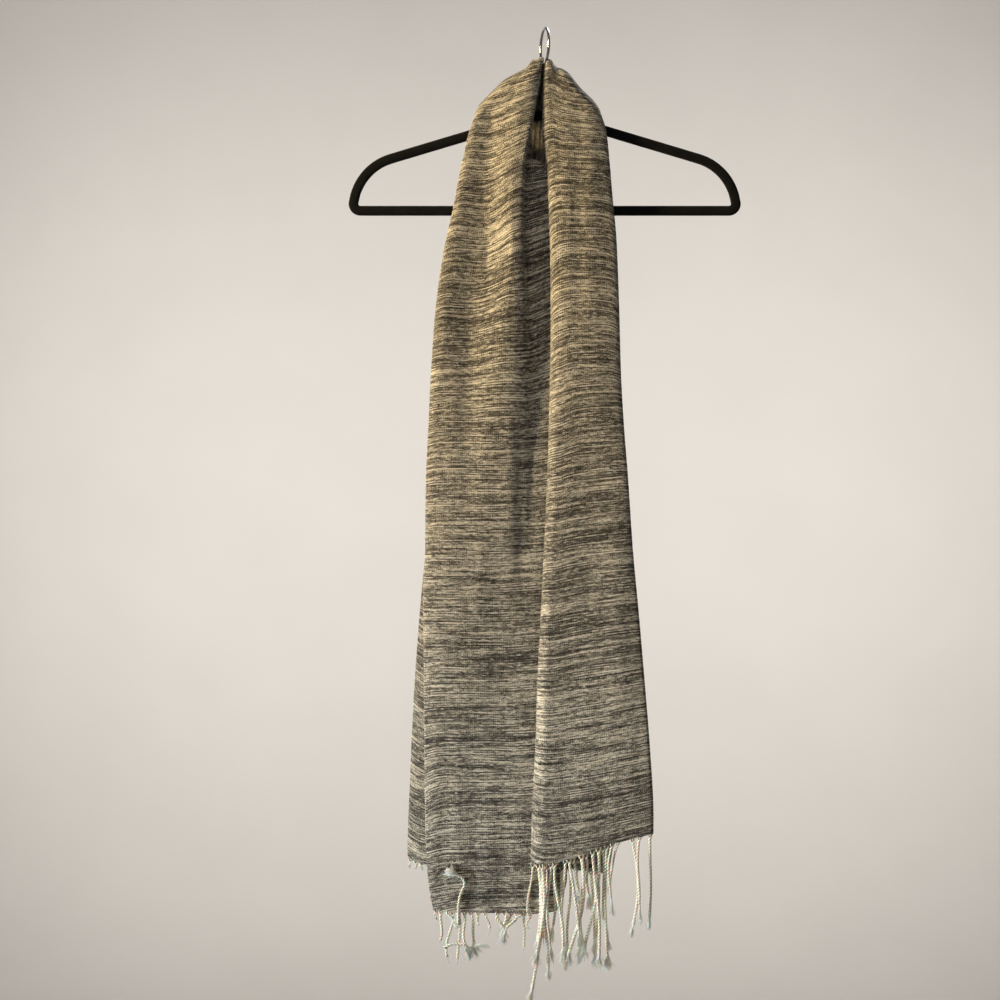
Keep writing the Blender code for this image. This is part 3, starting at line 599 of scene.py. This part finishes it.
def woven():
    """Marled hand-woven cloth: uneven weft yarns of charcoal, taupe and cream, crossed by a fine warp."""
    n = Nodes("marled cloth")
    weave = n.add("ShaderNodeAttribute", attribute_name="weave")
    apart = n.add("ShaderNodeSeparateXYZ", {"Vector": weave.outputs["Vector"]}).outputs
    u, v, w = apart["X"], apart["Y"], apart["Z"]
    # The wefts wander a little up and down.
    wander = n.noise(n.place(n.math("MULTIPLY", u, 0.016), n.math("MULTIPLY", v, 0.03), w), 1.0)
    v = n.math("MULTIPLY_ADD", n.math("SUBTRACT", wander, 0.5), 4.0, v)
    wobble = n.noise(n.place(n.math("MULTIPLY", u, 0.12), n.math("MULTIPLY", v, 0.25), w), 0.0)
    v = n.math("MULTIPLY_ADD", n.math("SUBTRACT", wobble, 0.5), 0.5, v)
    picks = n.math("MULTIPLY", v, 1 / PICK)
    pick = n.math("FLOOR", picks)
    in_pick = n.math("SUBTRACT", picks, pick)
    ends = n.math("MULTIPLY", u, 1 / END)

    def streaks(length, thickness, detail=1.0, shift=0.0):
        """Soft streaks, in the sizes given, that know nothing of single wefts."""
        return n.noise(n.place(
            n.math("MULTIPLY", u, 1 / length), n.math("MULTIPLY", v, 1 / thickness), n.math("ADD", w, shift)), detail)

    def dashes(length, step, shift):
        """Stretches of colour along single wefts."""
        return n.noise(n.place(
            n.math("MULTIPLY", u, 1 / length), n.math("MULTIPLY", pick, step), n.math("ADD", w, shift)), 1.0, 0.6)

    parts = (
        (dashes(48, 3.71, 0.0), 1.3),
        (dashes(7, 5.37, 7.1), 0.95),
        (streaks(150, 2.5, 1.0, 11.3), 0.6),
        (streaks(160, 8, 2.0, 23.1), 0.3),
        (streaks(420, 24, 1.0, 37.7), 0.42),
        (streaks(0.9, 0.9, 0.0, 51.9), 0.95),
    )
    tone = 0.5
    for value, share in parts:
        tone = n.math("MULTIPLY_ADD", n.math("SUBTRACT", value, 0.5), 1.55 * share, tone)
    # Wefts of two shuttles follow one another: one darker, one paler, more so in some places.
    parity = n.math("MULTIPLY_ADD", n.math("FLOORED_MODULO", pick, 2.0), 2.0, -1.0)
    shuttles = n.math("MULTIPLY", streaks(60, 14, 1.0, 63.0), 0.2)
    tone = n.math("MULTIPLY_ADD", parity, shuttles, tone)
    # The warp stands in faint upright ribs, and where it lies on top it shows as a small beige bead.
    tone = n.math("MULTIPLY_ADD", n.math("SINE", n.math("MULTIPLY", u, 2 * math.pi / 2.4)), 0.06, tone)
    over = n.math("SINE", n.math("MULTIPLY", n.math("ADD", ends, pick), math.pi))
    warp_shows = n.math("MULTIPLY", n.math("MAXIMUM", n.math("MULTIPLY", over, -1.0), 0.0), 0.4)
    colour = n.ramp(tone, [
        (0.0, CHARCOAL), (0.25, SMOKE), (0.5, TAUPE), (0.75, BEIGE), (1.0, CREAM)])
    warp_tone = n.noise(n.place(n.math("MULTIPLY", n.math("FLOOR", ends), 2.31), n.math("MULTIPLY", v, 0.05), w), 0.0)
    warp = n.ramp(warp_tone, [(0.3, rgb(84, 77, 66)), (0.7, rgb(178, 166, 142))])
    colour = n.mix(warp_shows, colour, warp)
    nubs = streaks(4.2, 1.35, 0.0, 71.7)
    dark_nubs = n.math("MULTIPLY", n.math("SUBTRACT", nubs, 0.70), 8.0)
    dark_nubs = n.math("MINIMUM", n.math("MAXIMUM", dark_nubs, 0.0), 0.9)
    colour = n.mix(dark_nubs, colour, (*rgb(24, 21, 18), 1))
    slubs = streaks(8.0, 1.5, 0.0, 83.1)
    pale_slubs = n.math("MULTIPLY", n.math("SUBTRACT", slubs, 0.71), 7.0)
    pale_slubs = n.math("MINIMUM", n.math("MAXIMUM", pale_slubs, 0.0), 0.75)
    colour = n.mix(pale_slubs, colour, (*CREAM, 1))
    # Bump: each weft is round, thicker where it is pale or slubbed, and pinched where the warp crosses it.
    half = n.math("MULTIPLY_ADD", in_pick, 2.0, -1.0)
    round_pick = n.math("SUBTRACT", 1.0, n.math("MULTIPLY", half, half))
    bead = n.math("MULTIPLY_ADD", n.math("ABSOLUTE", over), 0.35, 0.65)
    height = n.math("MULTIPLY", round_pick, bead)
    height = n.math("MULTIPLY_ADD", tone, 0.4, height)
    height = n.math("MULTIPLY_ADD", streaks(9.0, 2.2, 1.0, 91.0), 0.3, height)
    bump = n.add("ShaderNodeBump", {"Height": height, "Strength": 0.8, "Distance": 0.0005})
    return n.finish(colour, 0.86, bump.outputs["Normal"],
                    Sheen_Weight=0.2, Sheen_Roughness=0.5, Specular_IOR_Level=0.25)


def yarn():
    """Cream yarn, with painted shade in the grooves where its plies press together."""
    n = Nodes("cream yarn")
    weave = n.add("ShaderNodeAttribute", attribute_name="weave")
    apart = n.add("ShaderNodeSeparateXYZ", {"Vector": weave.outputs["Vector"]}).outputs
    along, painted_groove_shade, which = apart["X"], apart["Y"], apart["Z"]
    fibres = n.noise(n.place(
        n.math("MULTIPLY", along, 1.1), n.math("MULTIPLY", painted_groove_shade, 5.0), n.math("MULTIPLY", which, 31.0)), 2.0, 0.6)
    stained = n.noise(n.place(n.math("MULTIPLY", along, 0.10), which, which), 1.0)
    # Painted shade: the side of each ply that faces its cord's middle is coloured dark brown, as shade falls in the
    # grooves between plies.
    colour = n.ramp(painted_groove_shade, [
        (0.0, rgb(74, 60, 40)), (0.4, rgb(142, 124, 94)), (0.6, rgb(234, 224, 200)), (1.0, rgb(252, 248, 236))])
    colour = n.mix(n.math("MULTIPLY", stained, 0.16), colour, (*rgb(232, 214, 180), 1), "MULTIPLY")
    shade = n.ramp(fibres, [(0.3, (0.86, 0.84, 0.80)), (0.6, (1.0, 1.0, 1.0))])
    colour = n.mix(0.8, colour, shade, "MULTIPLY")
    bump = n.add("ShaderNodeBump", {"Height": fibres, "Strength": 0.5, "Distance": 0.0004})
    return n.finish(colour, 0.75, bump.outputs["Normal"], Sheen_Weight=0.4, Specular_IOR_Level=0.3,
                    Subsurface_Weight=0.35, Subsurface_Scale=0.004)


def flock():
    """Black velvet flock, with a soft bloom where it turns away."""
    n = Nodes("black flock")
    where = n.add("ShaderNodeTexCoord").outputs["Object"]
    fine = n.noise(where, 3.0, 0.6, 1800.0)
    worn = n.noise(where, 3.0, 0.6, 60.0)
    colour = n.ramp(worn, [(0.3, rgb(6, 6, 7)), (0.7, rgb(15, 15, 17))])
    bump = n.add("ShaderNodeBump", {"Height": fine, "Strength": 0.5, "Distance": 0.0003})
    return n.finish(colour, 0.95, bump.outputs["Normal"],
                    Sheen_Weight=0.12, Sheen_Roughness=0.45, Specular_IOR_Level=0.2)


def chrome():
    """Bright plated wire with faint drawing marks."""
    n = Nodes("plated wire")
    where = n.add("ShaderNodeTexCoord").outputs["Object"]
    marks = n.noise(where, 3.0, 0.6, 420.0)
    rough = n.math("MULTIPLY_ADD", marks, 0.14, 0.12)
    colour = n.ramp(marks, [(0.3, rgb(150, 152, 156)), (0.7, rgb(196, 198, 202))])
    return n.finish(colour, rough, None, Metallic=1.0)


def plain(name, colour, roughness=0.9):
    n = Nodes(name)
    where = n.add("ShaderNodeTexCoord").outputs["Object"]
    soft = n.noise(where, 2.0, 0.5, 3.0)
    low = tuple(c * 0.97 for c in colour)
    return n.finish(n.ramp(soft, [(0.3, low), (0.7, colour)]), roughness)


# ---------------------------------------------------------------- cloth
def set_weave(mesh, places):
    """Stores each point's place in the weave."""
    attribute = mesh.attributes.new("weave", "FLOAT_VECTOR", "POINT")
    attribute.data.foreach_set("vector", np.asarray(places, np.float32).ravel())


def from_faces(name, points, faces, places, material):
    mesh = bpy.data.meshes.new(name)
    mesh.from_pydata([tuple(p) for p in points], [], [tuple(f) for f in faces])
    mesh.shade_smooth()
    set_weave(mesh, places)
    mesh.materials.append(material)
    thing = bpy.data.objects.new(name, mesh)
    bpy.context.scene.collection.objects.link(thing)
    return thing


def cloth(name, grid, weave, seed, material):
    rows, columns = grid.shape[:2]
    start = (np.arange(rows - 1)[:, None] * columns + np.arange(columns - 1)[None, :]).ravel()
    faces = np.stack([start, start + 1, start + columns + 1, start + columns], axis=-1)
    places = np.concatenate([weave.reshape(-1, 2), np.full((rows * columns, 1), seed)], axis=-1)
    sheet = from_faces(name, grid.reshape(-1, 3), faces.tolist(), places, material)
    wall = sheet.modifiers.new("wall", "SOLIDIFY")
    wall.thickness = SHELL
    wall.offset = 0
    wall.use_even_offset = False
    return sheet


# ---------------------------------------------------------------- fringe
class Yarns:
    """Gathers tubes of yarn into one mesh. Each point knows how far it faces away from its cord's middle, which the
    yarn's colour turns into painted shade in the grooves.
    """

    def __init__(self):
        self.points, self.faces, self.places, self.count = [], [], [], 0

    def tube(self, path, radii, sides, which, middle=None):
        path = np.asarray(path, float)
        radii = np.broadcast_to(radii, len(path))
        first, second = sides_of(path)
        angle = np.arange(sides) * 2 * math.pi / sides
        ring = first[:, None] * np.cos(angle)[None, :, None] + second[:, None] * np.sin(angle)[None, :, None]
        points = path[:, None] + ring * radii[:, None, None]
        along = np.concatenate([[0], np.cumsum(np.linalg.norm(np.diff(path, axis=0), axis=1))]) / MM
        # Painted groove shade: 1 where a point faces away from its cord's middle, 0 where it faces it; tubes without a
        # middle get no painted shade.
        painted_groove_shade = np.ones((len(path), sides))
        if middle is not None:
            away = path - middle
            away /= np.linalg.norm(away, axis=1, keepdims=True) + 1e-9
            painted_groove_shade = 0.5 + 0.5 * np.einsum("ijk,ik->ij", ring, away)
        places = np.stack(np.broadcast_arrays(along[:, None], painted_groove_shade, which), axis=-1)
        base, n = self.count, len(path)
        for i in range(n - 1):
            for k in range(sides):
                a, b = base + i * sides + k, base + i * sides + (k + 1) % sides
                self.faces.append((a, b, b + sides, a + sides))
        self.faces.append(tuple(base + k for k in range(sides))[::-1])
        self.faces.append(tuple(base + (n - 1) * sides + k for k in range(sides)))
        self.points.append(points.reshape(-1, 3))
        self.places.append(places.reshape(-1, 3))
        self.count += n * sides

    def build(self, name, material):
        return from_faces(name, np.concatenate(self.points), self.faces, np.concatenate(self.places), material)


def smooth_path(points, step):
    """A finely stepped smooth curve through points."""
    points = np.asarray(points, float)
    reach = np.concatenate([[0], np.cumsum(np.linalg.norm(np.diff(points, axis=0), axis=1))])
    count = max(4, int(reach[-1] / step))
    at = np.linspace(0, reach[-1], count + 1)
    return np.stack([joined(reach, points[:, k], at) for k in range(3)], axis=-1)


def sides_of(path):
    """Two directions square to a path at each of its points."""
    ahead = np.gradient(path, axis=0)
    ahead /= np.linalg.norm(ahead, axis=1, keepdims=True) + 1e-12
    first = np.cross(ahead, (0.0, 1.0, 0.03))
    first /= np.linalg.norm(first, axis=1, keepdims=True) + 1e-12
    return first, np.cross(ahead, first)


# How cords end. A tuft has a knot above it. In millimetres: how far the ending hangs below its cord, its hairs by
# weight and besides, and their length, flare and thickness.
ENDINGS = {
    "tuft": (12, 40, 4, 14, 3.6, 0.66),
    "brush": (15, 34, 4, 18, 3.6, 0.58),
    "burst": (14, 72, 0, 17, 6.0, 0.70),
    "bare": (4, 0, 9, 7, 1.0, 0.30),
    "stub": (3, 0, 20, 5, 1.8, 0.52),
}
PLY = 1.08 * MM  # radius of one ply of a cord of weight 1
TWIST = 7.6 * MM  # length of one full twist


def tuft(yarns, at, heading, rng, hairs, length, flare, thickness):
    """Loose ends of yarn that flare from a point and droop, round a thicker core of matted yarn."""
    t = np.linspace(0, 1, 7)
    core = at + heading * (0.62 * length * t[:, None])
    yarns.tube(core, flare * (0.14 + 0.30 * np.sin(math.pi * t ** 0.8)) * (1 - 0.5 * t), 7, rng.uniform(0, 9))
    for _ in range(hairs):
        aside = rng.normal(0, 1, 3)
        aside -= heading * (aside @ heading)
        reach = length * rng.uniform(0.55, 1.0)
        spread = flare * rng.uniform(0.2, 1.0)
        curl = rng.normal(0, 1, 3) * 0.16
        t = np.linspace(0, 1, 6)[:, None]
        path = at + heading * reach * t + aside * spread * (t ** 1.3) * 0.8 + curl * reach * 0.4 * t ** 2.5
        path[:, 2] -= 0.15 * reach * t[:, 0] ** 2
        yarns.tube(path, np.linspace(thickness, 0.35 * thickness, 6) * MM, 3, rng.uniform(0, 9))


def twisted_cord(yarns, path, weight, ending, rng, root_spread=2.2 * MM):
    """Two plies twisted together along a path, which part into a small V at the hem, and their ending."""
    ply = PLY * weight
    path = smooth_path(path, 0.9 * MM)
    first, second = sides_of(path)
    along = np.concatenate([[0], np.cumsum(np.linalg.norm(np.diff(path, axis=0), axis=1))])
    spread = 0.80 * ply + (root_spread - 0.80 * ply) * np.exp(-(along / (2.6 * MM)) ** 2)
    turn = 2 * math.pi * np.maximum(along - 2.5 * MM, 0) / TWIST
    for k in (0, 1):
        a = turn + k * math.pi
        strand = path + (first * np.cos(a)[:, None] + second * np.sin(a)[:, None]) * spread[:, None]
        # Each ply gets painted shade on its side that faces the cord's middle.
        yarns.tube(strand, ply * (1 + 0.05 * np.sin(along / (3 * MM) + 9 * k)), 6, rng.uniform(0, 9), path)
    end, heading = path[-1], path[-1] - path[-3]
    heading = heading / np.linalg.norm(heading)
    if ending == "tuft":
        t = np.linspace(0, 1, 26)
        turns = 2 * math.pi * 2.4 * t
        f, s = first[-1], second[-1]
        wound = end - heading * (4.2 * MM * (t[:, None] - 0.35))
        axis = wound.copy()
        wound = wound + (f * np.cos(turns)[:, None] + s * np.sin(turns)[:, None]) * (1.35 * ply)
        # The knot's wraps get painted shade on their side that faces the cord's axis.
        yarns.tube(wound, 0.85 * ply, 6, rng.uniform(0, 9), axis)
        end = end + heading * 1.2 * MM
    _, by_weight, besides, length, flare, thickness = ENDINGS[ending]
    tuft(yarns, end, heading, rng, int(by_weight * weight) + besides, length * MM, flare * MM, thickness)


def hanging_path(root, foot, end, bow, out, rng):
    """A cord's way down from its root, with a little unevenness of its own."""
    sway = rng.uniform(-1, 1, 3) * np.array([1.3, 1.0, 0.8]) * MM
    path = []
    for t in np.linspace(0, 1, 9):
        ease = t * t * (3 - 2 * t)
        swing = math.sin(math.pi * t)
        path.append((
            root[0] + (foot - root[0]) * ease + bow * swing + sway[0] * math.sin(2 * math.pi * t),
            root[1] - out * min(1.0, 2 * t) * (1.5 - 0.5 * t) + sway[1] * swing,
            root[2] + (end - root[2]) * t,
        ))
    return path


def fringe(name, hem, cords, seed, material, loose=()):
    rng = np.random.default_rng(seed)
    along = hem[np.argsort(hem[:, 0])]
    yarns = Yarns()

    def on_hem(x, up=0.6 * MM):
        y, z = (float(np.interp(x, along[:, 0], along[:, axis])) for axis in (1, 2))
        return np.array((x, y, z + up))

    for root, foot, end, bow, out, weight, ending in cords:
        start = on_hem(root * MM)
        path = hanging_path(start, foot * MM, (end + ENDINGS[ending][0]) * MM, bow * MM, out * MM, rng)
        twisted_cord(yarns, path, weight, ending, rng)
    for points, ending in loose:
        start = on_hem(points[0][0] * MM)
        path = [(x * MM, start[1] - out * MM, z * MM) for x, z, out in points]
        twisted_cord(yarns, path, 0.85, ending, rng, 0.6 * MM)
    return yarns.build(name, material)


# ---------------------------------------------------------------- hanger
def rounded_loop(corners, step=math.radians(5)):
    """A closed path through corners of (x, z, radius), each turned with an arc."""
    points = []
    for i, (x, z, radius) in enumerate(corners):
        here = Vector((x, z))
        before = (Vector(corners[i - 1][:2]) - here).normalized()
        after = (Vector(corners[(i + 1) % len(corners)][:2]) - here).normalized()
        half = before.angle(after) / 2
        centre = here + (before + after).normalized() * radius / math.sin(half)
        start = here + before * radius / math.tan(half) - centre
        end = here + after * radius / math.tan(half) - centre
        turn = start.angle_signed(end)
        count = 2 * math.ceil(abs(turn) / step / 2)
        for k in range(count + 1):
            a = -turn * k / count
            points.append(centre + Vector((
                start.x * math.cos(a) - start.y * math.sin(a),
                start.x * math.sin(a) + start.y * math.cos(a),
            )))
    return np.array([(p.x, p.y) for p in points])


def hanger_body(material):
    """The flocked hanger: a rounded section carried round its loop."""
    sides = 20
    shoulder = NECK_HEIGHT - ARM_SLOPE * SHOULDER_X
    loop = rounded_loop([
        (0, NECK_HEIGHT, NECK_RADIUS),
        (SHOULDER_X, shoulder, SHOULDER_RADIUS),
        (HANGER_HALF_WIDTH, BAR_HEIGHT, CORNER_RADIUS),
        (-HANGER_HALF_WIDTH, BAR_HEIGHT, CORNER_RADIUS),
        (-SHOULDER_X, shoulder, SHOULDER_RADIUS),
    ])
    ahead = np.roll(loop, -1, axis=0) - np.roll(loop, 1, axis=0)
    ahead /= np.linalg.norm(ahead, axis=1, keepdims=True)
    outward = np.stack([-ahead[:, 1], ahead[:, 0]], axis=-1)
    angle = np.linspace(0, 2 * math.pi, sides, endpoint=False)
    c, s = np.cos(angle), np.sin(angle)
    high = np.sign(c) * np.abs(c) ** 0.62 * ARM_HEIGHT / 2
    deep = np.sign(s) * np.abs(s) ** 0.62 * ARM_THICKNESS / 2
    n = len(loop)
    points = np.stack([
        loop[:, None, 0] + outward[:, None, 0] * high,
        np.broadcast_to(deep, (n, sides)),
        loop[:, None, 1] + outward[:, None, 1] * high,
    ], axis=-1).reshape(-1, 3)
    faces = []
    for i in range(n):
        here, there = i * sides, (i + 1) % n * sides
        faces += [(here + k, here + (k + 1) % sides, there + (k + 1) % sides, there + k) for k in range(sides)]
    return from_faces("flocked_hanger", points, faces, np.zeros_like(points), material)


def hanger_hook(material):
    neck_top = NECK_HEIGHT - NECK_RADIUS * (math.hypot(1, ARM_SLOPE) - 1) + ARM_HEIGHT / 2
    centre = WIRE / 2 - HOOK_RADIUS
    flat = [(0, neck_top), (0, SHANK_TOP - 25 * MM), (0, SHANK_TOP)]
    bend_out = (HOOK_RADIUS * math.cos(HOOK_START), centre + HOOK_RADIUS * math.sin(HOOK_START))
    handle_a = (0, SHANK_TOP + 5 * MM)
    handle_b = (bend_out[0] - 5 * MM, bend_out[1] - 3 * MM)
    for t in np.linspace(0.1, 0.9, 9):
        flat.append(tuple(
            (1 - t) ** 3 * a + 3 * (1 - t) ** 2 * t * b + 3 * (1 - t) * t * t * c + t**3 * d
            for a, b, c, d in zip((0, SHANK_TOP), handle_a, handle_b, bend_out)
        ))
    for a in np.linspace(HOOK_START, HOOK_END, 70):
        flat.append((HOOK_RADIUS * math.cos(a), centre + HOOK_RADIUS * math.sin(a)))
    data = bpy.data.curves.new("wire_hook", "CURVE")
    data.dimensions = "3D"
    spline = data.splines.new("POLY")
    spline.points.add(len(flat) - 1)
    for slot, (h, z) in zip(spline.points, flat):
        slot.co = (h * math.cos(HOOK_SWIVEL), h * math.sin(HOOK_SWIVEL), z, 1)
    data.bevel_depth = WIRE / 2
    data.bevel_resolution = 6
    data.use_fill_caps = True
    data.materials.append(material)
    hook = bpy.data.objects.new("wire_hook", data)
    bpy.context.scene.collection.objects.link(hook)
    return hook


# ---------------------------------------------------------------- build
cloth_look, yarn_look, flock_look, chrome_look = woven(), yarn(), flock(), chrome()

left_grid, left_weave = left_front_grid()
right_grid, right_weave = right_tail_grid()
back_grid, back_weave = left_back_grid()
band_grid, band_weave = neck_band_grid()

left = cloth("left_front_cloth", left_grid, left_weave, 3.0, cloth_look)
right = cloth("right_tail_cloth", right_grid, right_weave, 47.0, cloth_look)
back = cloth("left_back_cloth", back_grid, back_weave, 91.0, cloth_look)
band = cloth("neck_band_cloth", band_grid, band_weave, 135.0, cloth_look)

left_fringe = fringe("left_fringe_cords", left_grid[-1], LEFT_CORDS, 5, yarn_look,
                     ((FLIPPED_CORD, "burst"), (CROSSING_CORD, "brush")))
back_fringe = fringe("back_fringe_cords", back_grid[-1], BACK_CORDS, 6, yarn_look)
right_fringe = fringe("right_fringe_cords", right_grid[-1][:TO_FOLD], RIGHT_CORDS, 7, yarn_look)
under_fringe = fringe("under_fringe_cords", right_grid[-1][PAST_FOLD:], UNDER_CORDS, 8, yarn_look)

hanger = hanger_body(flock_look)
hook = hanger_hook(chrome_look)

for piece, node, slot in (
    (left, "left_front", "cloth"),
    (right, "right_tail", "cloth"),
    (back, "left_back", "cloth"),
    (band, "neck_band", "cloth"),
    (left_fringe, "left_fringe", "fringe"),
    (back_fringe, "back_fringe", "fringe"),
    (right_fringe, "right_fringe", "fringe"),
    (under_fringe, "under_fringe", "fringe"),
    (hanger, "hanger_body", "flock"),
    (hook, "hanger_hook", "chrome"),
):
    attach(piece, "root")
    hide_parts(node)


# ---------------------------------------------------------------- stage, light and camera
def stage():
    """A plain pale floor that runs up into a plain pale wall."""
    floor, wall, turn, half = -2.05, 3.0, 0.6, 5.0
    profile = [(-4.0, floor), (wall - turn, floor)]
    profile += [(wall - turn + turn * math.sin(a), floor + turn - turn * math.cos(a))
                for a in np.linspace(0.1, math.pi / 2, 14)]
    profile.append((wall, 3.2))
    points = [(x, y, z) for y, z in profile for x in (-half, half)]
    faces = [(2 * i, 2 * i + 1, 2 * i + 3, 2 * i + 2) for i in range(len(profile) - 1)]
    backdrop = from_faces("backdrop", points, faces, np.zeros((len(points), 3)),
                          plain("pale backdrop", rgb(214, 209, 202)))


def soft_light(name, place, target, size, power, colour, spread=180):
    """A rectangle of light, in metres, watts and degrees."""
    data = bpy.data.lights.new(name, "AREA")
    data.shape = "RECTANGLE"
    data.size, data.size_y = size
    data.energy, data.color = power, colour
    data.spread = math.radians(spread)
    lamp = bpy.data.objects.new(name, data)
    lamp.location = place
    lamp.rotation_euler = (Vector(target) - Vector(place)).to_track_quat("-Z", "Y").to_euler()
    bpy.context.scene.collection.objects.link(lamp)


stage()
soft_light("warm_key", (-2.55, -0.76, 0.50), (0, 0, -0.04), (0.45, 0.9), 11.4, (1.0, 0.78, 0.44), 49)
soft_light("cool_key", (-2.4, -0.85, -1.1), (0, 0, -1.0), (0.7, 0.5), 2.5, (0.76, 0.88, 1.0), 30)
soft_light("front_fill", (-1.5, -2.45, 0.35), (0, 0, -0.55), (1.1, 1.4), 11.6, (1.0, 0.94, 0.85))
soft_light("back_fill", (0.9, 1.7, 1.5), (0, 0, -0.5), (1.2, 1.2), 14, (1.0, 0.97, 0.93), 80)
for name, x in (("left", -1), ("right", 1)):
    soft_light("wall_wash_" + name, (2.2 * x, 0.2, -0.4), (0.6 * x, 3.0, -0.4), (0.6, 2.4), 24, (1.0, 0.98, 0.96), 90)

world = bpy.data.worlds.new("studio")
world.use_nodes = True
background = world.node_tree.nodes["Background"].inputs
background["Color"].default_value = (0.95, 0.96, 1.0, 1)
background["Strength"].default_value = 0.12
bpy.context.scene.world = world
bpy.context.scene.view_settings.view_transform = "Standard"

FRAME_WIDTH = 1.13  # metres across the photograph's frame, at the cloth
DISTANCE = 1.8  # from the camera to the cloth's front
camera_data = bpy.data.cameras.new("camera")
camera_data.lens = camera_data.sensor_width * DISTANCE / FRAME_WIDTH
camera = bpy.data.objects.new("camera", camera_data)
camera.location = (-0.0509, -0.015 - DISTANCE, -0.5351)
camera.rotation_euler = (math.radians(90), 0, 0)
bpy.context.scene.collection.objects.link(camera)
bpy.context.scene.camera = camera
